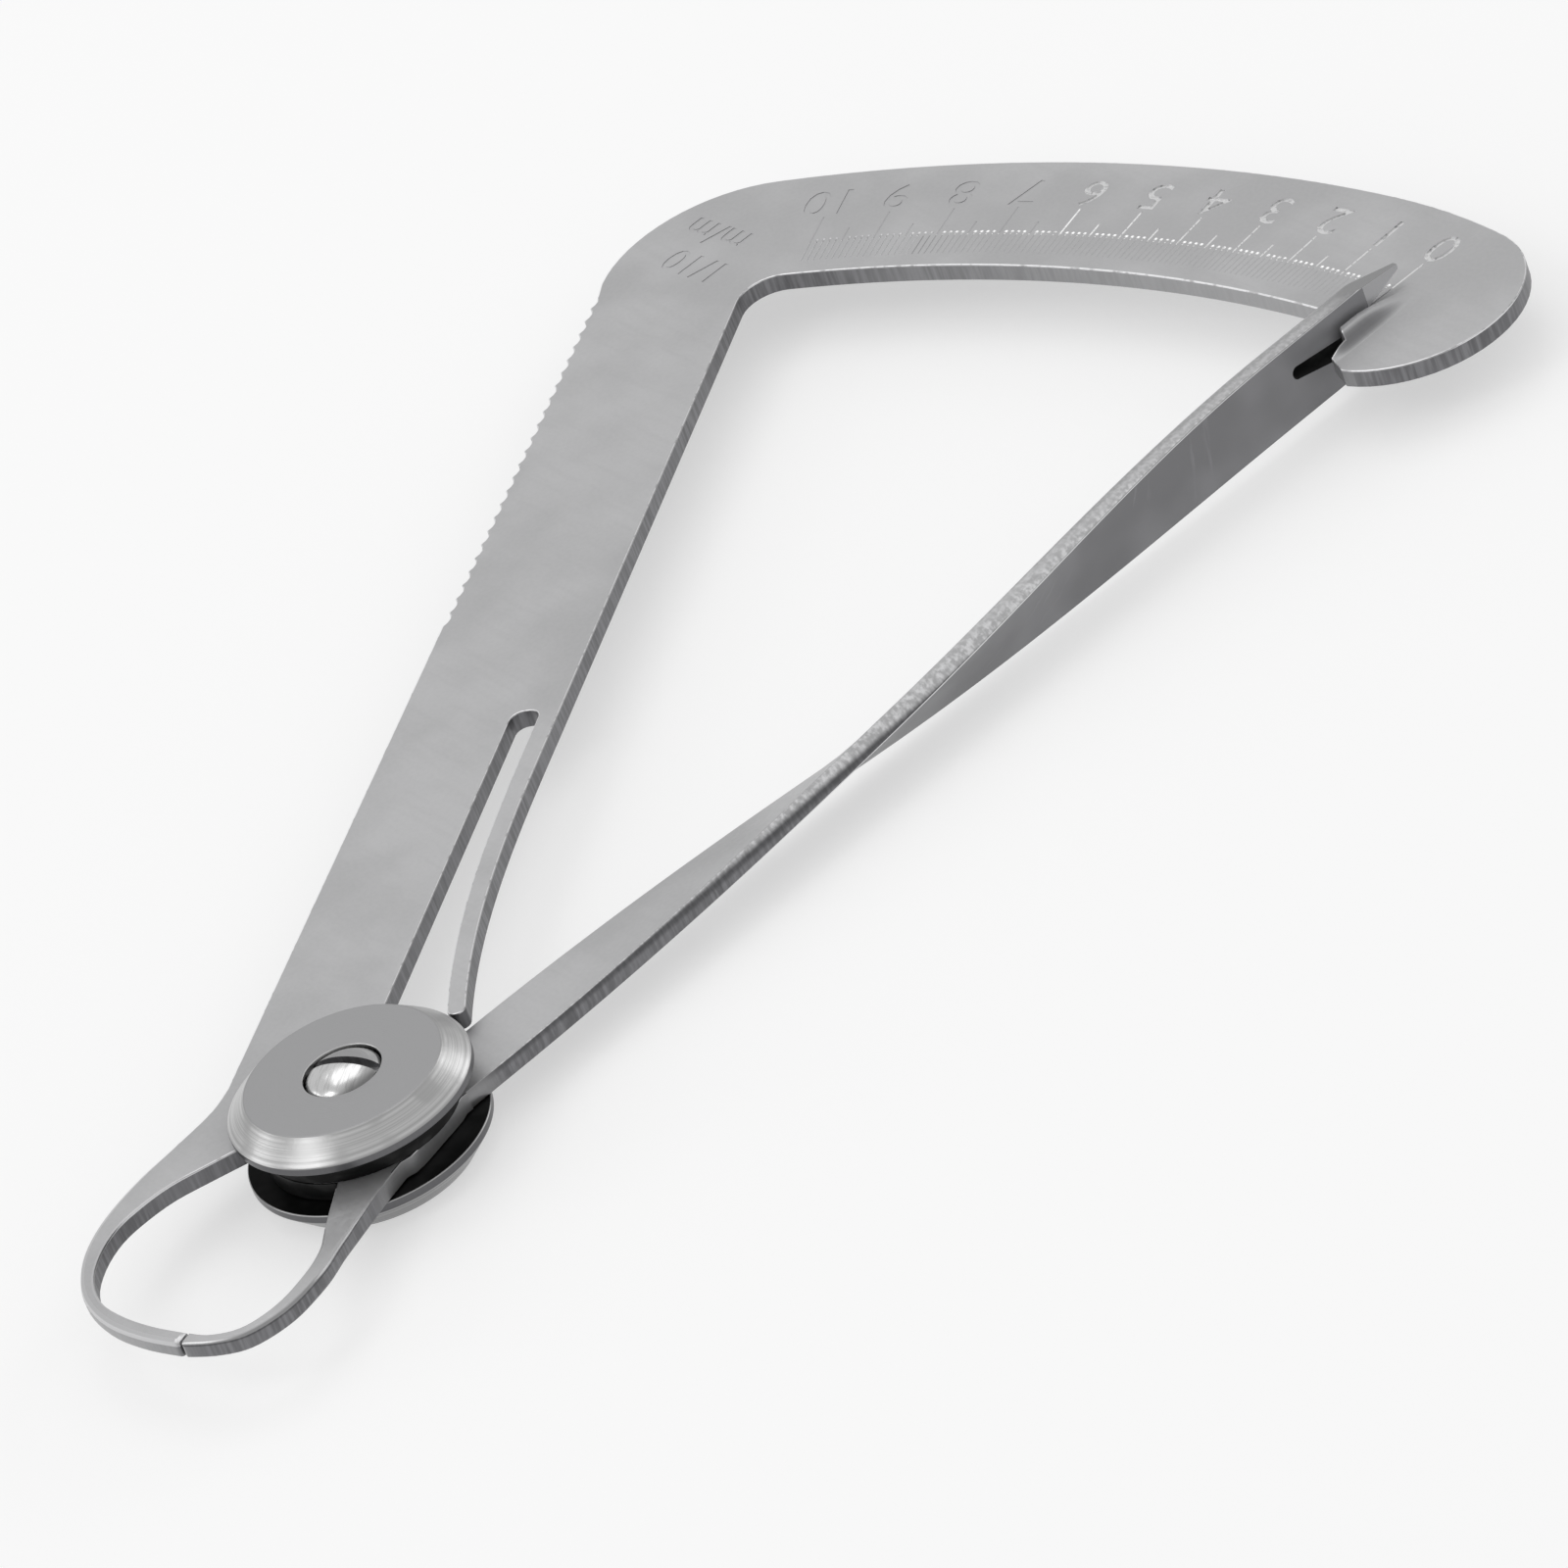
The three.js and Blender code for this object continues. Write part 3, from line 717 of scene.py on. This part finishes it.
def square_root(sheet):
    """Brings the frame's sheet down to the tongue's root, with a square end in place of the round gap."""
    def in_gap(edge):
        for vertex in edge.verts:
            along, beside = beside_line(vertex.co, *TONGUE_LINE)
            if not (TONGUE_ROOT < along < GAP_END and MERGE_GAP < -beside < TONGUE_WIDTH - MERGE_GAP):
                return False
        return upright(edge)

    def at_corner(vertex):
        along, beside = beside_line(vertex.co, *TONGUE_LINE)
        on_side = min(abs(beside), abs(beside + TONGUE_WIDTH)) < MERGE_GAP
        return on_side and abs(along - GAP_CORNER) < NEAR

    edit(sheet)
    choose(sheet, "EDGE", in_gap)
    bpy.ops.mesh.dissolve_edges(use_verts=True)
    choose(sheet, "VERT", at_corner)
    bpy.ops.transform.translate(value=(*polar(TONGUE_ROOT - GAP_CORNER, TONGUE_HEADING), 0))
    leave()


def at_root(place):
    """Whether a place lies on the joint between the frame's sheet and the tongue."""
    along, beside = beside_line(place, *TONGUE_LINE)
    return abs(along - TONGUE_ROOT) < NEAR and -TONGUE_WIDTH - NEAR < beside < NEAR


def sheet_rims(settings):
    """Rim widths of a sheet piece: fine along the arm, rounder down the claws."""
    def width_at(middle, edge):
        if upright(edge):
            # The claws' outer corners leave a notch where they meet
            return TIP_NOTCH if middle.y < TIPS_Y and abs(middle.x - TIPS_X) < 0.1 else 0
        if middle.xy.length < PLAIN_SHARE * DISC_RADIUS or at_root(middle):
            return 0
        first, second = edge.link_faces
        wall = second if abs(second.normal.z) < abs(first.normal.z) else first
        outer = wall.normal.dot(middle - Vector(CLAW_MIDDLE)) > 0
        claw = settings.claw_round * (1 if outer else INNER_SHARE)
        return settings.rim_round + (claw - settings.rim_round) * ease(-middle.y, *RIM_WIDENS)
    return width_at


def tab_rise(place, settings):
    """How far the paddle's tab is bent up at a place in plan."""
    along, beside = beside_line(place, *POINTER_LINE)
    length_share = ease(along, TAB_START, TAB_FULL[0]) * (1 - ease(along, TAB_FULL[1], TAB_END))
    width_share = ease(beside, *TAB_LEFT) * (1 - ease(beside, *TAB_RIGHT))
    return settings.tab_rise * length_share * width_share


def bend_tab(sheet, settings):
    """Cuts the sheet finely beside the strip's end, and bends its tab up."""
    forward = polar(1, POINTER_HEADING)
    right = polar(1, POINTER_HEADING + 90)
    borders = [
        (forward, TAB_START), (forward, TAB_END),
        (right, POINTER_OFFSET + TAB_LEFT[0]), (right, POINTER_OFFSET + TAB_RIGHT[1])
    ]
    length = TAB_END - TAB_START
    cuts = [(forward, TAB_START + length * step / TAB_STEPS) for step in range(1, TAB_STEPS)]
    cuts += [(right, POINTER_OFFSET + beside) for beside in TAB_CUTS]

    def in_reach(face):
        for vertex in face.verts:
            along, beside = beside_line(vertex.co, *POINTER_LINE)
            if not TAB_START - NEAR < along < TAB_END + NEAR:
                return False
            if not TAB_LEFT[0] - NEAR < beside < TAB_RIGHT[1] + NEAR:
                return False
        return True

    edit(sheet)
    for side, distance in borders:
        bpy.ops.mesh.select_all(action="SELECT")
        bpy.ops.mesh.bisect(plane_co=(*side * distance, 0), plane_no=(*side, 0))
    for side, distance in cuts:
        choose(sheet, "FACE", in_reach)
        bpy.ops.mesh.bisect(plane_co=(*side * distance, 0), plane_no=(*side, 0))
    leave()
    for vertex in sheet.data.vertices:
        vertex.co.z += tab_rise(vertex.co, settings)


def engraved_line(start, end, heading, width, depth):
    """Cutter for one V-shaped line between two radii: a three-sided bar with its ridge down."""
    bar = primitive(bpy.ops.mesh.primitive_cylinder_add, "line", vertices=3, radius=1, depth=1)
    above = 0.05
    height = depth + above
    width *= height / depth
    # A three-sided cylinder of radius 1 is 1.5 high and the root of 3 wide, with a corner at +Y
    lay_down = Matrix.Rotation(-math.pi / 2, 4, "X")
    bar.data.transform(Matrix.Diagonal((width / math.sqrt(3), height / 1.5, end - start, 1)))
    bar.data.transform(lay_down)
    ridge = min(vertex.co.z for vertex in bar.data.vertices)
    foot = polar((start + end) / 2, heading)
    bar.data.transform(standing((*foot, PLATE_TOP - depth - ridge), heading))
    return bar


def engraved_dot(radius, heading, depth):
    """Cutter for the dot at the end of a fine line: a cone with its point down."""
    dot = primitive(
        bpy.ops.mesh.primitive_cone_add, "dot",
        vertices=8, radius1=2 * DOT_RADIUS, radius2=0, depth=2 * depth
    )
    point_down = Matrix.Rotation(math.pi, 4, "X")
    dot.data.transform(Matrix.Translation((*polar(radius, heading), PLATE_TOP)) @ point_down)
    return dot


def engraved_text(body, place, heading, height, depth):
    """Cutter for a numeral or sign whose top points along a heading."""
    text = primitive(bpy.ops.object.text_add, body)
    text.data.body = body
    text.data.align_x = "CENTER"
    text.data.align_y = "CENTER"
    text.data.size = height / FONT_HEIGHT
    text.data.extrude = depth
    text.data.resolution_u = 3
    bpy.ops.object.convert(target="MESH")
    text = bpy.context.active_object
    close_up(text)
    text.data.transform(standing((*place, PLATE_TOP), heading))
    return text


def engraving(settings):
    """All the marks as one cutter: a line each tenth, longer at halves and wholes, and numerals."""
    tools = []
    shallow = settings.mark_depth * LIGHT_SHARE

    def keep(tool, light):
        finish = "satin_blasted_stainless" if light else "engraved_stainless"
        tool.data.materials.clear()
        tool.data.materials.append(material_of(finish))
        tools.append(tool)

    for tenth in range(SCALE_LENGTH * 10 + 1):
        heading = ZERO_HEADING - DEGREES_PER_MM * tenth / 10
        fine = settings.mark_depth * (DEEP_SHARE if tenth > DEEP_CUT * 10 else FINE_SHARE)
        keep(engraved_line(MARK_START, FINE_END, heading, settings.tenth_width, fine), False)
        if tenth % 5:
            keep(engraved_dot(TENTH_END, heading, settings.mark_depth), False)
            continue
        light = tenth > LIGHT_CUT * 10
        depth = shallow if light else settings.mark_depth
        end = HALF_END if tenth % 10 else WHOLE_END
        keep(engraved_line(FINE_END + GRAVER_GAP, end, heading, settings.mark_width, depth), light)
    for number in range(SCALE_LENGTH + 1):
        heading = ZERO_HEADING - DEGREES_PER_MM * number
        place = polar(NUMERAL_FOOT - settings.numeral_height / 2, heading)
        light = number > LIGHT_CUT
        depth = shallow if light else settings.mark_depth
        keep(engraved_text(str(number), place, heading + 180, settings.numeral_height, depth), light)
    for sign, place in UNIT_SIGNS:
        keep(engraved_text(sign, place, UNIT_HEADING, UNIT_HEIGHT, shallow), True)
    pick(*tools)
    bpy.ops.object.join()
    return bpy.context.active_object


SHEET_FINISHES = (
    "satin_blasted_stainless", "ground_edge_stainless", "mill_back_stainless",
    "burnished_rim_stainless", "oiled_inner_steel"
)


def dress_sheet(piece, pick_material):
    dress(piece, [material_of(name) for name in SHEET_FINISHES], pick_material)


def sheet_material(face, may_hide=True):
    """Index of a sheet face's material: 0 top, 1 wall, 2 back, 3 rim with painted highlight, 4 hidden
    between the discs, in painted shade.
    """
    corners = [face.id_data.vertices[index].co for index in face.vertices]
    if may_hide and max(corner.xy.length for corner in corners) < HIDDEN_SHARE * DISC_RADIUS:
        return 4
    if abs(face.normal.z) > LEVEL_SLOPE:
        return 0 if face.normal.z > 0 else 2
    return 3 if face.normal.z > RIM_SLOPE else 1


def arm_material(face):
    """As sheet_material, but the arm's right wall also shows where it passes the discs."""
    shows = face.center.x > OPEN_SIDE and abs(face.normal.z) < LEVEL_SLOPE
    return sheet_material(face, not shows)


class CALIPER_OT_frame_sheet(bpy.types.Operator):
    """Makes the sheet frame with its rounded rims and engraved scale"""
    bl_idname = "caliper.frame_sheet"
    bl_label = "Frame sheet"

    def execute(self, context):
        settings = context.scene.caliper_sheet
        sheet = copy_of_node("frame_plate", "frame_sheet")
        square_root(sheet)
        bevel_rims(sheet, sheet_rims(settings))
        dress_sheet(sheet, sheet_material)
        bend_tab(sheet, settings)
        combine(sheet, engraving(settings), "DIFFERENCE")
        smooth(sheet)
        settle(sheet, "frame", "sheet_steel", "frame_plate")
        return {"FINISHED"}


class CALIPER_OT_tongue_leaf(bpy.types.Operator):
    """Makes the spring tongue, which bends out of the frame's sheet"""
    bl_idname = "caliper.tongue_leaf"
    bl_label = "Spring tongue"

    def execute(self, context):
        settings = context.scene.caliper_sheet
        leaf = copy_of_node("spring_tongue", "tongue_leaf")
        edit(leaf)
        root = along_line(*TONGUE_LINE, TONGUE_ROOT)
        bpy.ops.mesh.bisect(
            plane_co=(*root, 0), plane_no=(*polar(1, TONGUE_HEADING), 0), use_fill=True, clear_outer=True
        )
        leave()
        bevel_rims(leaf, sheet_rims(settings))
        dress_sheet(leaf, sheet_material)
        smooth(leaf)
        settle(leaf, None, "sheet_steel", "spring_tongue")
        middle = (PLATE_BOTTOM + PLATE_TOP) / 2
        places = [along_line(*TONGUE_LINE, each) for each in (TONGUE_ROOT, TONGUE_TIP)]
        start, end = [Vector((*place, middle)) * MM for place in places]
        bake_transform(leaf)
        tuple(start)
        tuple(end)
        return {"FINISHED"}


# Pointer arm

def strip_place(distance, across, through):
    """Where a point of the straight strip goes: turned on edge, raised and tapered."""
    roll = math.pi / 2 * ease(distance, TWIST_START, TWIST_END)
    end_share = ease(distance, RISE_START, TWIST_END)
    root_share = 1 - ease(distance, STRIP_START, RISE_START)
    width = STRIP_WIDTH + (STRIP_ROOT_WIDTH - STRIP_WIDTH) * root_share
    width += (STRIP_END_WIDTH - STRIP_WIDTH) * end_share
    middle = ARM_BOTTOM + SHEET / 2 + LAYER_STEP * end_share
    tip_share = min(1, max(0, (distance - TIP_THIN) / (STRIP_END - TIP_THIN)))
    thickness = SHEET + (TIP_BLUNT - SHEET) * tip_share
    foot = along_line(*POINTER_LINE, distance)
    right = polar(1, POINTER_HEADING + 90)
    side = Vector((right.x * math.cos(roll), right.y * math.cos(roll), math.sin(roll)))
    face = Vector((-right.x * math.sin(roll), -right.y * math.sin(roll), math.cos(roll)))
    place = Vector((foot.x, foot.y, middle))
    return place + side * (across * width / STRIP_WIDTH) + face * (through * thickness / SHEET)


def strip_section():
    """Corners of the strip's cross-section: flat faces, and walls ground slightly round."""
    corners = []
    steps = 8
    for side in (1, -1):
        for step in range(steps + 1):
            share = side * (2 * step / steps - 1)
            crown = WALL_CROWN * (1 - share * share)
            corners.append((side * (STRIP_WIDTH / 2 - WALL_CROWN + crown), share * SHEET / 2))
    return corners


def twisted_strip(settings):
    """The strip: one cross-section drawn out, cut across many times, then twisted."""
    def is_long(edge):
        return abs(edge.verts[0].co.y - edge.verts[1].co.y) > 1

    def is_corner(edge):
        return is_long(edge) and edge.calc_face_angle(0) > math.radians(40)

    mesh = bpy.data.meshes.new("strip")
    section = strip_section()
    corners = [(across, STRIP_START, through) for across, through in section]
    mesh.from_pydata(corners, [], [range(len(corners))])
    strip = new_object("strip", mesh)
    edit(strip)
    bpy.ops.mesh.extrude_region_move(TRANSFORM_OT_translate={"value": (0, STRIP_END - STRIP_START, 0)})
    bpy.ops.mesh.select_all(action="SELECT")
    bpy.ops.mesh.normals_make_consistent(inside=False)
    choose(strip, "EDGE", is_corner)
    bpy.ops.mesh.bevel(offset=STRIP_RIM_SHARE * settings.rim_round, segments=2, affect="EDGES")
    choose(strip, "EDGE", is_long)
    bpy.ops.mesh.subdivide(number_cuts=settings.strip_steps, quadcorner="INNERVERT")
    leave()
    dress_sheet(strip, strip_material)
    for vertex in strip.data.vertices:
        vertex.co = strip_place(vertex.co.y, vertex.co.x, vertex.co.z)
    return strip


def strip_material(face):
    """Before the twist: top face, sides, underside, and the edge that the twist brings to the top, which
    with the tip's flat gets the rim's painted highlight.
    """
    under_slope = -0.45
    if face.normal.z > LEVEL_SLOPE:
        return 0
    if face.normal.z < -LEVEL_SLOPE:
        return 3 if face.center.y > TIP_FLAT else 2
    return 3 if face.normal.z < under_slope and face.center.x > 0 else 1


def end_cutter(side_view, finish="ground_edge_stainless"):
    """Cutter that stands in the strip's plane, from a side view of (distance, z) pairs."""
    curve = bpy.data.curves.new("end_cutter", "CURVE")
    curve.dimensions = "2D"
    curve.fill_mode = "BOTH"
    curve.extrude = 2 * SHEET
    spline = curve.splines.new("POLY")
    spline.points.add(len(side_view) - 1)
    for point, (distance, z) in zip(spline.points, side_view):
        point.co = (distance, z, 0, 1)
    spline.use_cyclic_u = True
    pick(new_object("end_cutter", curve))
    bpy.ops.object.convert(target="MESH")
    cutter = bpy.context.active_object
    foot = along_line(*POINTER_LINE, 0)
    stand = Matrix.Rotation(math.pi / 2, 4, "X")
    turn = Matrix.Rotation(math.pi / 2 - math.radians(POINTER_HEADING), 4, "Z")
    cutter.data.transform(Matrix.Translation((*foot, 0)) @ turn @ stand)
    close_up(cutter)
    cutter.data.materials.append(material_of(finish))
    return cutter


def end_cutters():
    """The slit that straddles the scale, the point above it and the rounded prong below it."""
    beyond = STRIP_END + 1
    slit_top = PLATE_TOP + SLIT_ROOM
    slit_bottom = PLATE_BOTTOM - SLIT_ROOM
    slit_middle = (slit_top + slit_bottom) / 2
    top = slit_middle + STRIP_END_WIDTH / 2
    bottom = slit_middle - STRIP_END_WIDTH / 2
    point_bottom = PLATE_TOP + TIP_HEIGHT
    point_top = point_bottom + TIP_BLUNT
    nose_middle = slit_middle + SLIT_LIFT
    nose = []
    corner = []
    steps = 12
    for step in range(steps + 1):
        turn = math.pi * step / steps
        nose.append((
            SLIT_START + SLIT_NOSE * (1 - math.sin(turn)), nose_middle + SLIT_NOSE * math.cos(turn)
        ))
        corner.append((
            LOWER_PRONG_END - LOWER_PRONG_CORNER * (1 - math.sin(turn / 2)),
            bottom + LOWER_PRONG_CORNER * (1 - math.cos(turn / 2))
        ))
    # The slit's walls take the dark inner steel as painted shade
    slit = end_cutter([
        *nose, (SLANT_END, slit_bottom), (SLIT_LEVEL, slit_bottom), (beyond, slit_bottom),
        (beyond, slit_top), (SLIT_LEVEL, slit_top), (SLANT_END, slit_top)
    ], "oiled_inner_steel")
    for vertex in slit.data.vertices:
        along, beside = beside_line(vertex.co, *POINTER_LINE)
        if along < (SLANT_END + SLIT_LEVEL) / 2:
            vertex.co.z -= SLIT_SLANT * beside
    yield slit
    yield end_cutter([
        (TIP_SHOULDER, top), (STRIP_END, point_top), (beyond, point_top),
        (beyond, top + 1), (TIP_SHOULDER, top + 1)
    ])
    yield end_cutter([
        (TIP_SHOULDER, slit_middle), (beyond, slit_middle), (beyond, point_bottom),
        (STRIP_END, point_bottom), (TIP_SHOULDER, slit_top)
    ])
    yield end_cutter([
        *corner, (LOWER_PRONG_END, slit_middle), (beyond, slit_middle), (beyond, bottom - 1),
        (LOWER_PRONG_END - LOWER_PRONG_CORNER, bottom - 1)
    ])


class CALIPER_OT_pointer_sheet(bpy.types.Operator):
    """Makes the pointer arm: its eye and claw, and the twisted strip with its slit end"""
    bl_idname = "caliper.pointer_sheet"
    bl_label = "Pointer arm"

    def execute(self, context):
        settings = context.scene.caliper_sheet
        arm = copy_of_node("pointer_arm", "pointer_sheet")
        edit(arm)
        forward = polar(1, POINTER_HEADING)
        cut = along_line(*POINTER_LINE, STRIP_START + 1)
        bpy.ops.mesh.bisect(
            plane_co=(*cut, 0), plane_no=(*forward, 0), use_fill=True, clear_outer=True, threshold=0.001
        )
        bpy.ops.mesh.select_all(action="SELECT")
        bpy.ops.mesh.tris_convert_to_quads(
            face_threshold=math.radians(10), shape_threshold=math.radians(60)
        )
        leave()
        bevel_rims(arm, sheet_rims(settings), segments=3)
        dress_sheet(arm, arm_material)
        for vertex in arm.data.vertices:
            if vertex.co.xy.length < EYE_RADIUS + 0.1:
                vertex.co.x = min(vertex.co.x, EYE_SIDE)
        strip = twisted_strip(settings)
        for cutter in end_cutters():
            combine(strip, cutter, "DIFFERENCE")
        combine(arm, strip, "UNION")
        smooth(arm)
        settle(arm, "pointer", "sheet_steel", "pointer_arm")
        return {"FINISHED"}


# Turned pieces

def spun(name, profile, settings, materials, pick_material, edge_round=True):
    """A turned piece: a half profile of (radius, z) pairs spun round the pivot axis."""
    def even(middle, edge):
        return settings.edge_round

    mesh = bpy.data.meshes.new(name)
    corners = [(radius, 0, z) for radius, z in profile]
    mesh.from_pydata(corners, [(i, i + 1) for i in range(len(corners) - 1)], [])
    piece = new_object(name, mesh)
    edit(piece)
    bpy.ops.mesh.spin(
        steps=settings.segments, angle=2 * math.pi, center=(0, 0, 0), axis=(0, 0, 1), dupli=False
    )
    bpy.ops.mesh.select_all(action="SELECT")
    bpy.ops.mesh.remove_doubles(threshold=MERGE_GAP)
    bpy.ops.mesh.normals_make_consistent(inside=False)
    leave()
    if edge_round:
        bevel_rims(piece, even, segments=3, least_turn=20)
    dress(piece, [material_of(each) for each in materials], pick_material)
    return piece


class CALIPER_OT_discs(bpy.types.Operator):
    """Makes the two turned discs that hold the sheets"""
    bl_idname = "caliper.discs"
    bl_label = "Pivot discs"

    def execute(self, context):
        settings = context.scene.caliper_turned
        bore = 1.6
        face_radius = 5.5
        rim = 0.45
        boss_radius = 6
        boss = 0.4
        hole = SCREW_RADIUS + 0.045
        floor = 0.5
        hidden_radius = 6.3
        rim_bottom = PLATE_TOP + boss

        def pick_material(face):
            """Dark inner steel as painted shade on the faces between the two discs, turned steel on all
            others.
            """
            between = BACK_DISC_TOP - NEAR < face.center.z < rim_bottom + NEAR
            return 1 if between and face.center.xy.length < hidden_radius else 0

        front = [
            (bore, PLATE_TOP), (boss_radius, PLATE_TOP), (boss_radius, rim_bottom),
            (DISC_RADIUS, rim_bottom), (DISC_RADIUS, rim_bottom + rim), (face_radius, STACK_TOP),
            (hole, STACK_TOP), (hole, SCREW_SEAT), (bore, SCREW_SEAT), (bore, PLATE_TOP)
        ]
        back = [
            (0, 0), (face_radius, 0), (DISC_RADIUS, BACK_DISC_TOP - rim), (DISC_RADIUS, BACK_DISC_TOP),
            (bore, BACK_DISC_TOP), (bore, floor), (0, floor)
        ]
        names = ("turned_stainless", "oiled_inner_steel")
        front_piece = spun("front_disc_turned", front, settings, names, pick_material)
        back_piece = spun("back_disc_turned", back, settings, names, pick_material)
        for piece, node in ((front_piece, "front_disc"), (back_piece, "back_disc")):
            smooth(piece)
            settle(piece, "frame", "turned_steel", node)
        return {"FINISHED"}


class CALIPER_OT_screw(bpy.types.Operator):
    """Makes the domed screw with its slot"""
    bl_idname = "caliper.screw"
    bl_label = "Pivot screw"

    def execute(self, context):
        settings = context.scene.caliper_turned
        shank = 1.55
        foot = level("pivot_screw", 0)
        side = STACK_TOP - 0.45
        crown = STACK_TOP + 0.45
        steps = 16
        profile = [(0, foot), (shank, foot), (shank, SCREW_SEAT), (SCREW_RADIUS, SCREW_SEAT)]
        for step in range(steps + 1):
            angle = math.pi / 2 * step / steps
            profile.append((SCREW_RADIUS * math.cos(angle), side + (crown - side) * math.sin(angle)))
        profile[-1] = (0, crown)
        half_slot = 0.3
        slot_size = (2 * half_slot, 6, 1.6)
        slot_place = (-0.2, 0.3, crown)

        def pick_material(face):
            """The dome is polished; beyond the slot its far side takes turned steel, as painted shade."""
            return 1 if face.center.xy.dot(polar(1, SAW_HEADING - 90)) > half_slot else 0

        names = ("polished_stainless", "turned_stainless")
        screw = spun("screw_domed", profile, settings, names, pick_material, False)
        saw = primitive(bpy.ops.mesh.primitive_cube_add, "saw", size=1)
        saw.data.transform(standing(slot_place, SAW_HEADING) @ Matrix.Diagonal((*slot_size, 1)))
        saw.data.materials.append(material_of("ground_edge_stainless"))
        combine(screw, saw, "DIFFERENCE")
        smooth(screw, 30)
        settle(screw, "frame", "screw_steel", "pivot_screw")
        return {"FINISHED"}


class CALIPER_OT_bush(bpy.types.Operator):
    """Gives the pivot bush the dark inner steel, as painted shade"""
    bl_idname = "caliper.bush"
    bl_label = "Pivot bush"

    def execute(self, context):
        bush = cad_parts["pivot_bush"]
        bush.data.materials.clear()
        bush.data.materials.append(material_of("oiled_inner_steel"))
        return {"FINISHED"}


class CALIPER_OT_finishes(bpy.types.Operator):
    """Makes the materials"""
    bl_idname = "caliper.finishes"
    bl_label = "Finishes"

    def execute(self, context):
        settings = context.scene.caliper_finish
        for make in (
            satin_blasted_stainless, ground_edge_stainless, mill_back_stainless, burnished_rim_stainless,
            engraved_stainless, turned_stainless, polished_stainless, oiled_inner_steel
        ):
            make(settings)
        return {"FINISHED"}


# Stage

def matt_white_paper(settings):
    """Floor paper: matt, and partly shown as plain white, also where metal mirrors it."""
    tree = new_material("matt_white_paper")
    matt = add(tree, "ShaderNodeBsdfPrincipled", {
        "Base Color": settings.floor_colour, "Roughness": 0.9, "Specular IOR Level": 0.0
    })
    white = add(tree, "ShaderNodeEmission", {"Strength": 1.0})
    rays = add(tree, "ShaderNodeLightPath", output=None).outputs
    seen = rays["Is Camera Ray"]
    for other in ("Is Glossy Ray", "Is Transmission Ray"):
        seen = add(tree, "ShaderNodeMath", (seen, rays[other]), operation="MAXIMUM")
    share = add(tree, "ShaderNodeMath", (seen, settings.paper_white), operation="MULTIPLY")
    paper = add(tree, "ShaderNodeMixShader", (share, matt, white))
    add(tree, "ShaderNodeOutputMaterial", {"Surface": paper}, None)


LAMPS = (
    # name, place in metres, side in metres, power in watts
    ("left_low_lamp", (-0.65, -0.40, 0.22), 0.40, 0.7),
    ("back_lamp", (0.25, 0.85, 0.30), 0.40, 0.7),
    ("near_lamp", (-0.30, -0.55, 0.75), 0.35, 0.7),
    ("top_lamp", (-0.35, 0.35, 0.85), 0.60, 1.0),
)


class CALIPER_OT_stage(bpy.types.Operator):
    """Makes the floor, the light and the camera"""
    bl_idname = "caliper.stage"
    bl_label = "Stage"

    def execute(self, context):
        settings = context.scene.caliper_stage
        scene = context.scene
        scene.view_settings.view_transform = "Standard"
        floor = primitive(bpy.ops.mesh.primitive_plane_add, "floor", size=settings.floor_size)
        matt_white_paper(settings)
        floor.data.materials.append(material_of("matt_white_paper"))
        world = bpy.data.worlds.new("studio")
        world.use_nodes = True
        even_light = world.node_tree.nodes["Background"].inputs
        even_light["Color"].default_value = (1, 1, 1, 1)
        even_light["Strength"].default_value = settings.world_light
        scene.world = world
        for name, place, side, power in LAMPS:
            lamp = bpy.data.lights.new(name, "AREA")
            lamp.size = side
            lamp.energy = power * settings.lamp_light
            holder = new_object(name, lamp)
            holder.location = place
            aim = Vector(LAMP_AIM) - Vector(place)
            holder.rotation_euler = aim.to_track_quat("-Z", "Y").to_euler()
        camera = new_object("camera", bpy.data.cameras.new("camera"))
        right = Vector(CAMERA_RIGHT)
        up = -Vector(CAMERA_DOWN)
        turn = Matrix((right, up, right.cross(up))).transposed()
        camera.matrix_world = Matrix.Translation(Vector(CAMERA_PLACE) * MM) @ turn.to_4x4()
        camera.data.sensor_width = 36
        camera.data.lens = CAMERA_LENS
        camera.data.clip_start = 0.05
        camera.data.clip_end = 20
        scene.camera = camera
        return {"FINISHED"}


OPERATORS = (
    CALIPER_OT_finishes, CALIPER_OT_frame_sheet, CALIPER_OT_tongue_leaf, CALIPER_OT_pointer_sheet,
    CALIPER_OT_discs, CALIPER_OT_screw, CALIPER_OT_bush, CALIPER_OT_stage
)


class CALIPER_PT_panel(bpy.types.Panel):
    """Lists the steps that build the caliper"""
    bl_idname = "CALIPER_PT_panel"
    bl_label = "Caliper"
    bl_space_type = "VIEW_3D"
    bl_region_type = "UI"
    bl_category = "Caliper"

    def draw(self, context):
        for operator in OPERATORS:
            self.layout.operator(operator.bl_idname)
        for name in SETTINGS:
            group = getattr(context.scene, name)
            box = self.layout.box()
            for each in group.__annotations__:
                box.prop(group, each)


SETTINGS = {
    "caliper_finish": FinishSettings,
    "caliper_sheet": SheetSettings,
    "caliper_turned": TurnedSettings,
    "caliper_stage": StageSettings,
}


def register():
    for group in SETTINGS.values():
        bpy.utils.register_class(group)
    for name, group in SETTINGS.items():
        setattr(bpy.types.Scene, name, PointerProperty(type=group))
    for each in (*OPERATORS, CALIPER_PT_panel):
        bpy.utils.register_class(each)


def unregister():
    for each in reversed((*OPERATORS, CALIPER_PT_panel)):
        bpy.utils.unregister_class(each)
    for name, group in SETTINGS.items():
        delattr(bpy.types.Scene, name)
        bpy.utils.unregister_class(group)


def main():
    register()
    for operator in OPERATORS:
        group, name = operator.bl_idname.split(".")
        getattr(getattr(bpy.ops, group), name)()


if __name__ == "__main__":
    main()
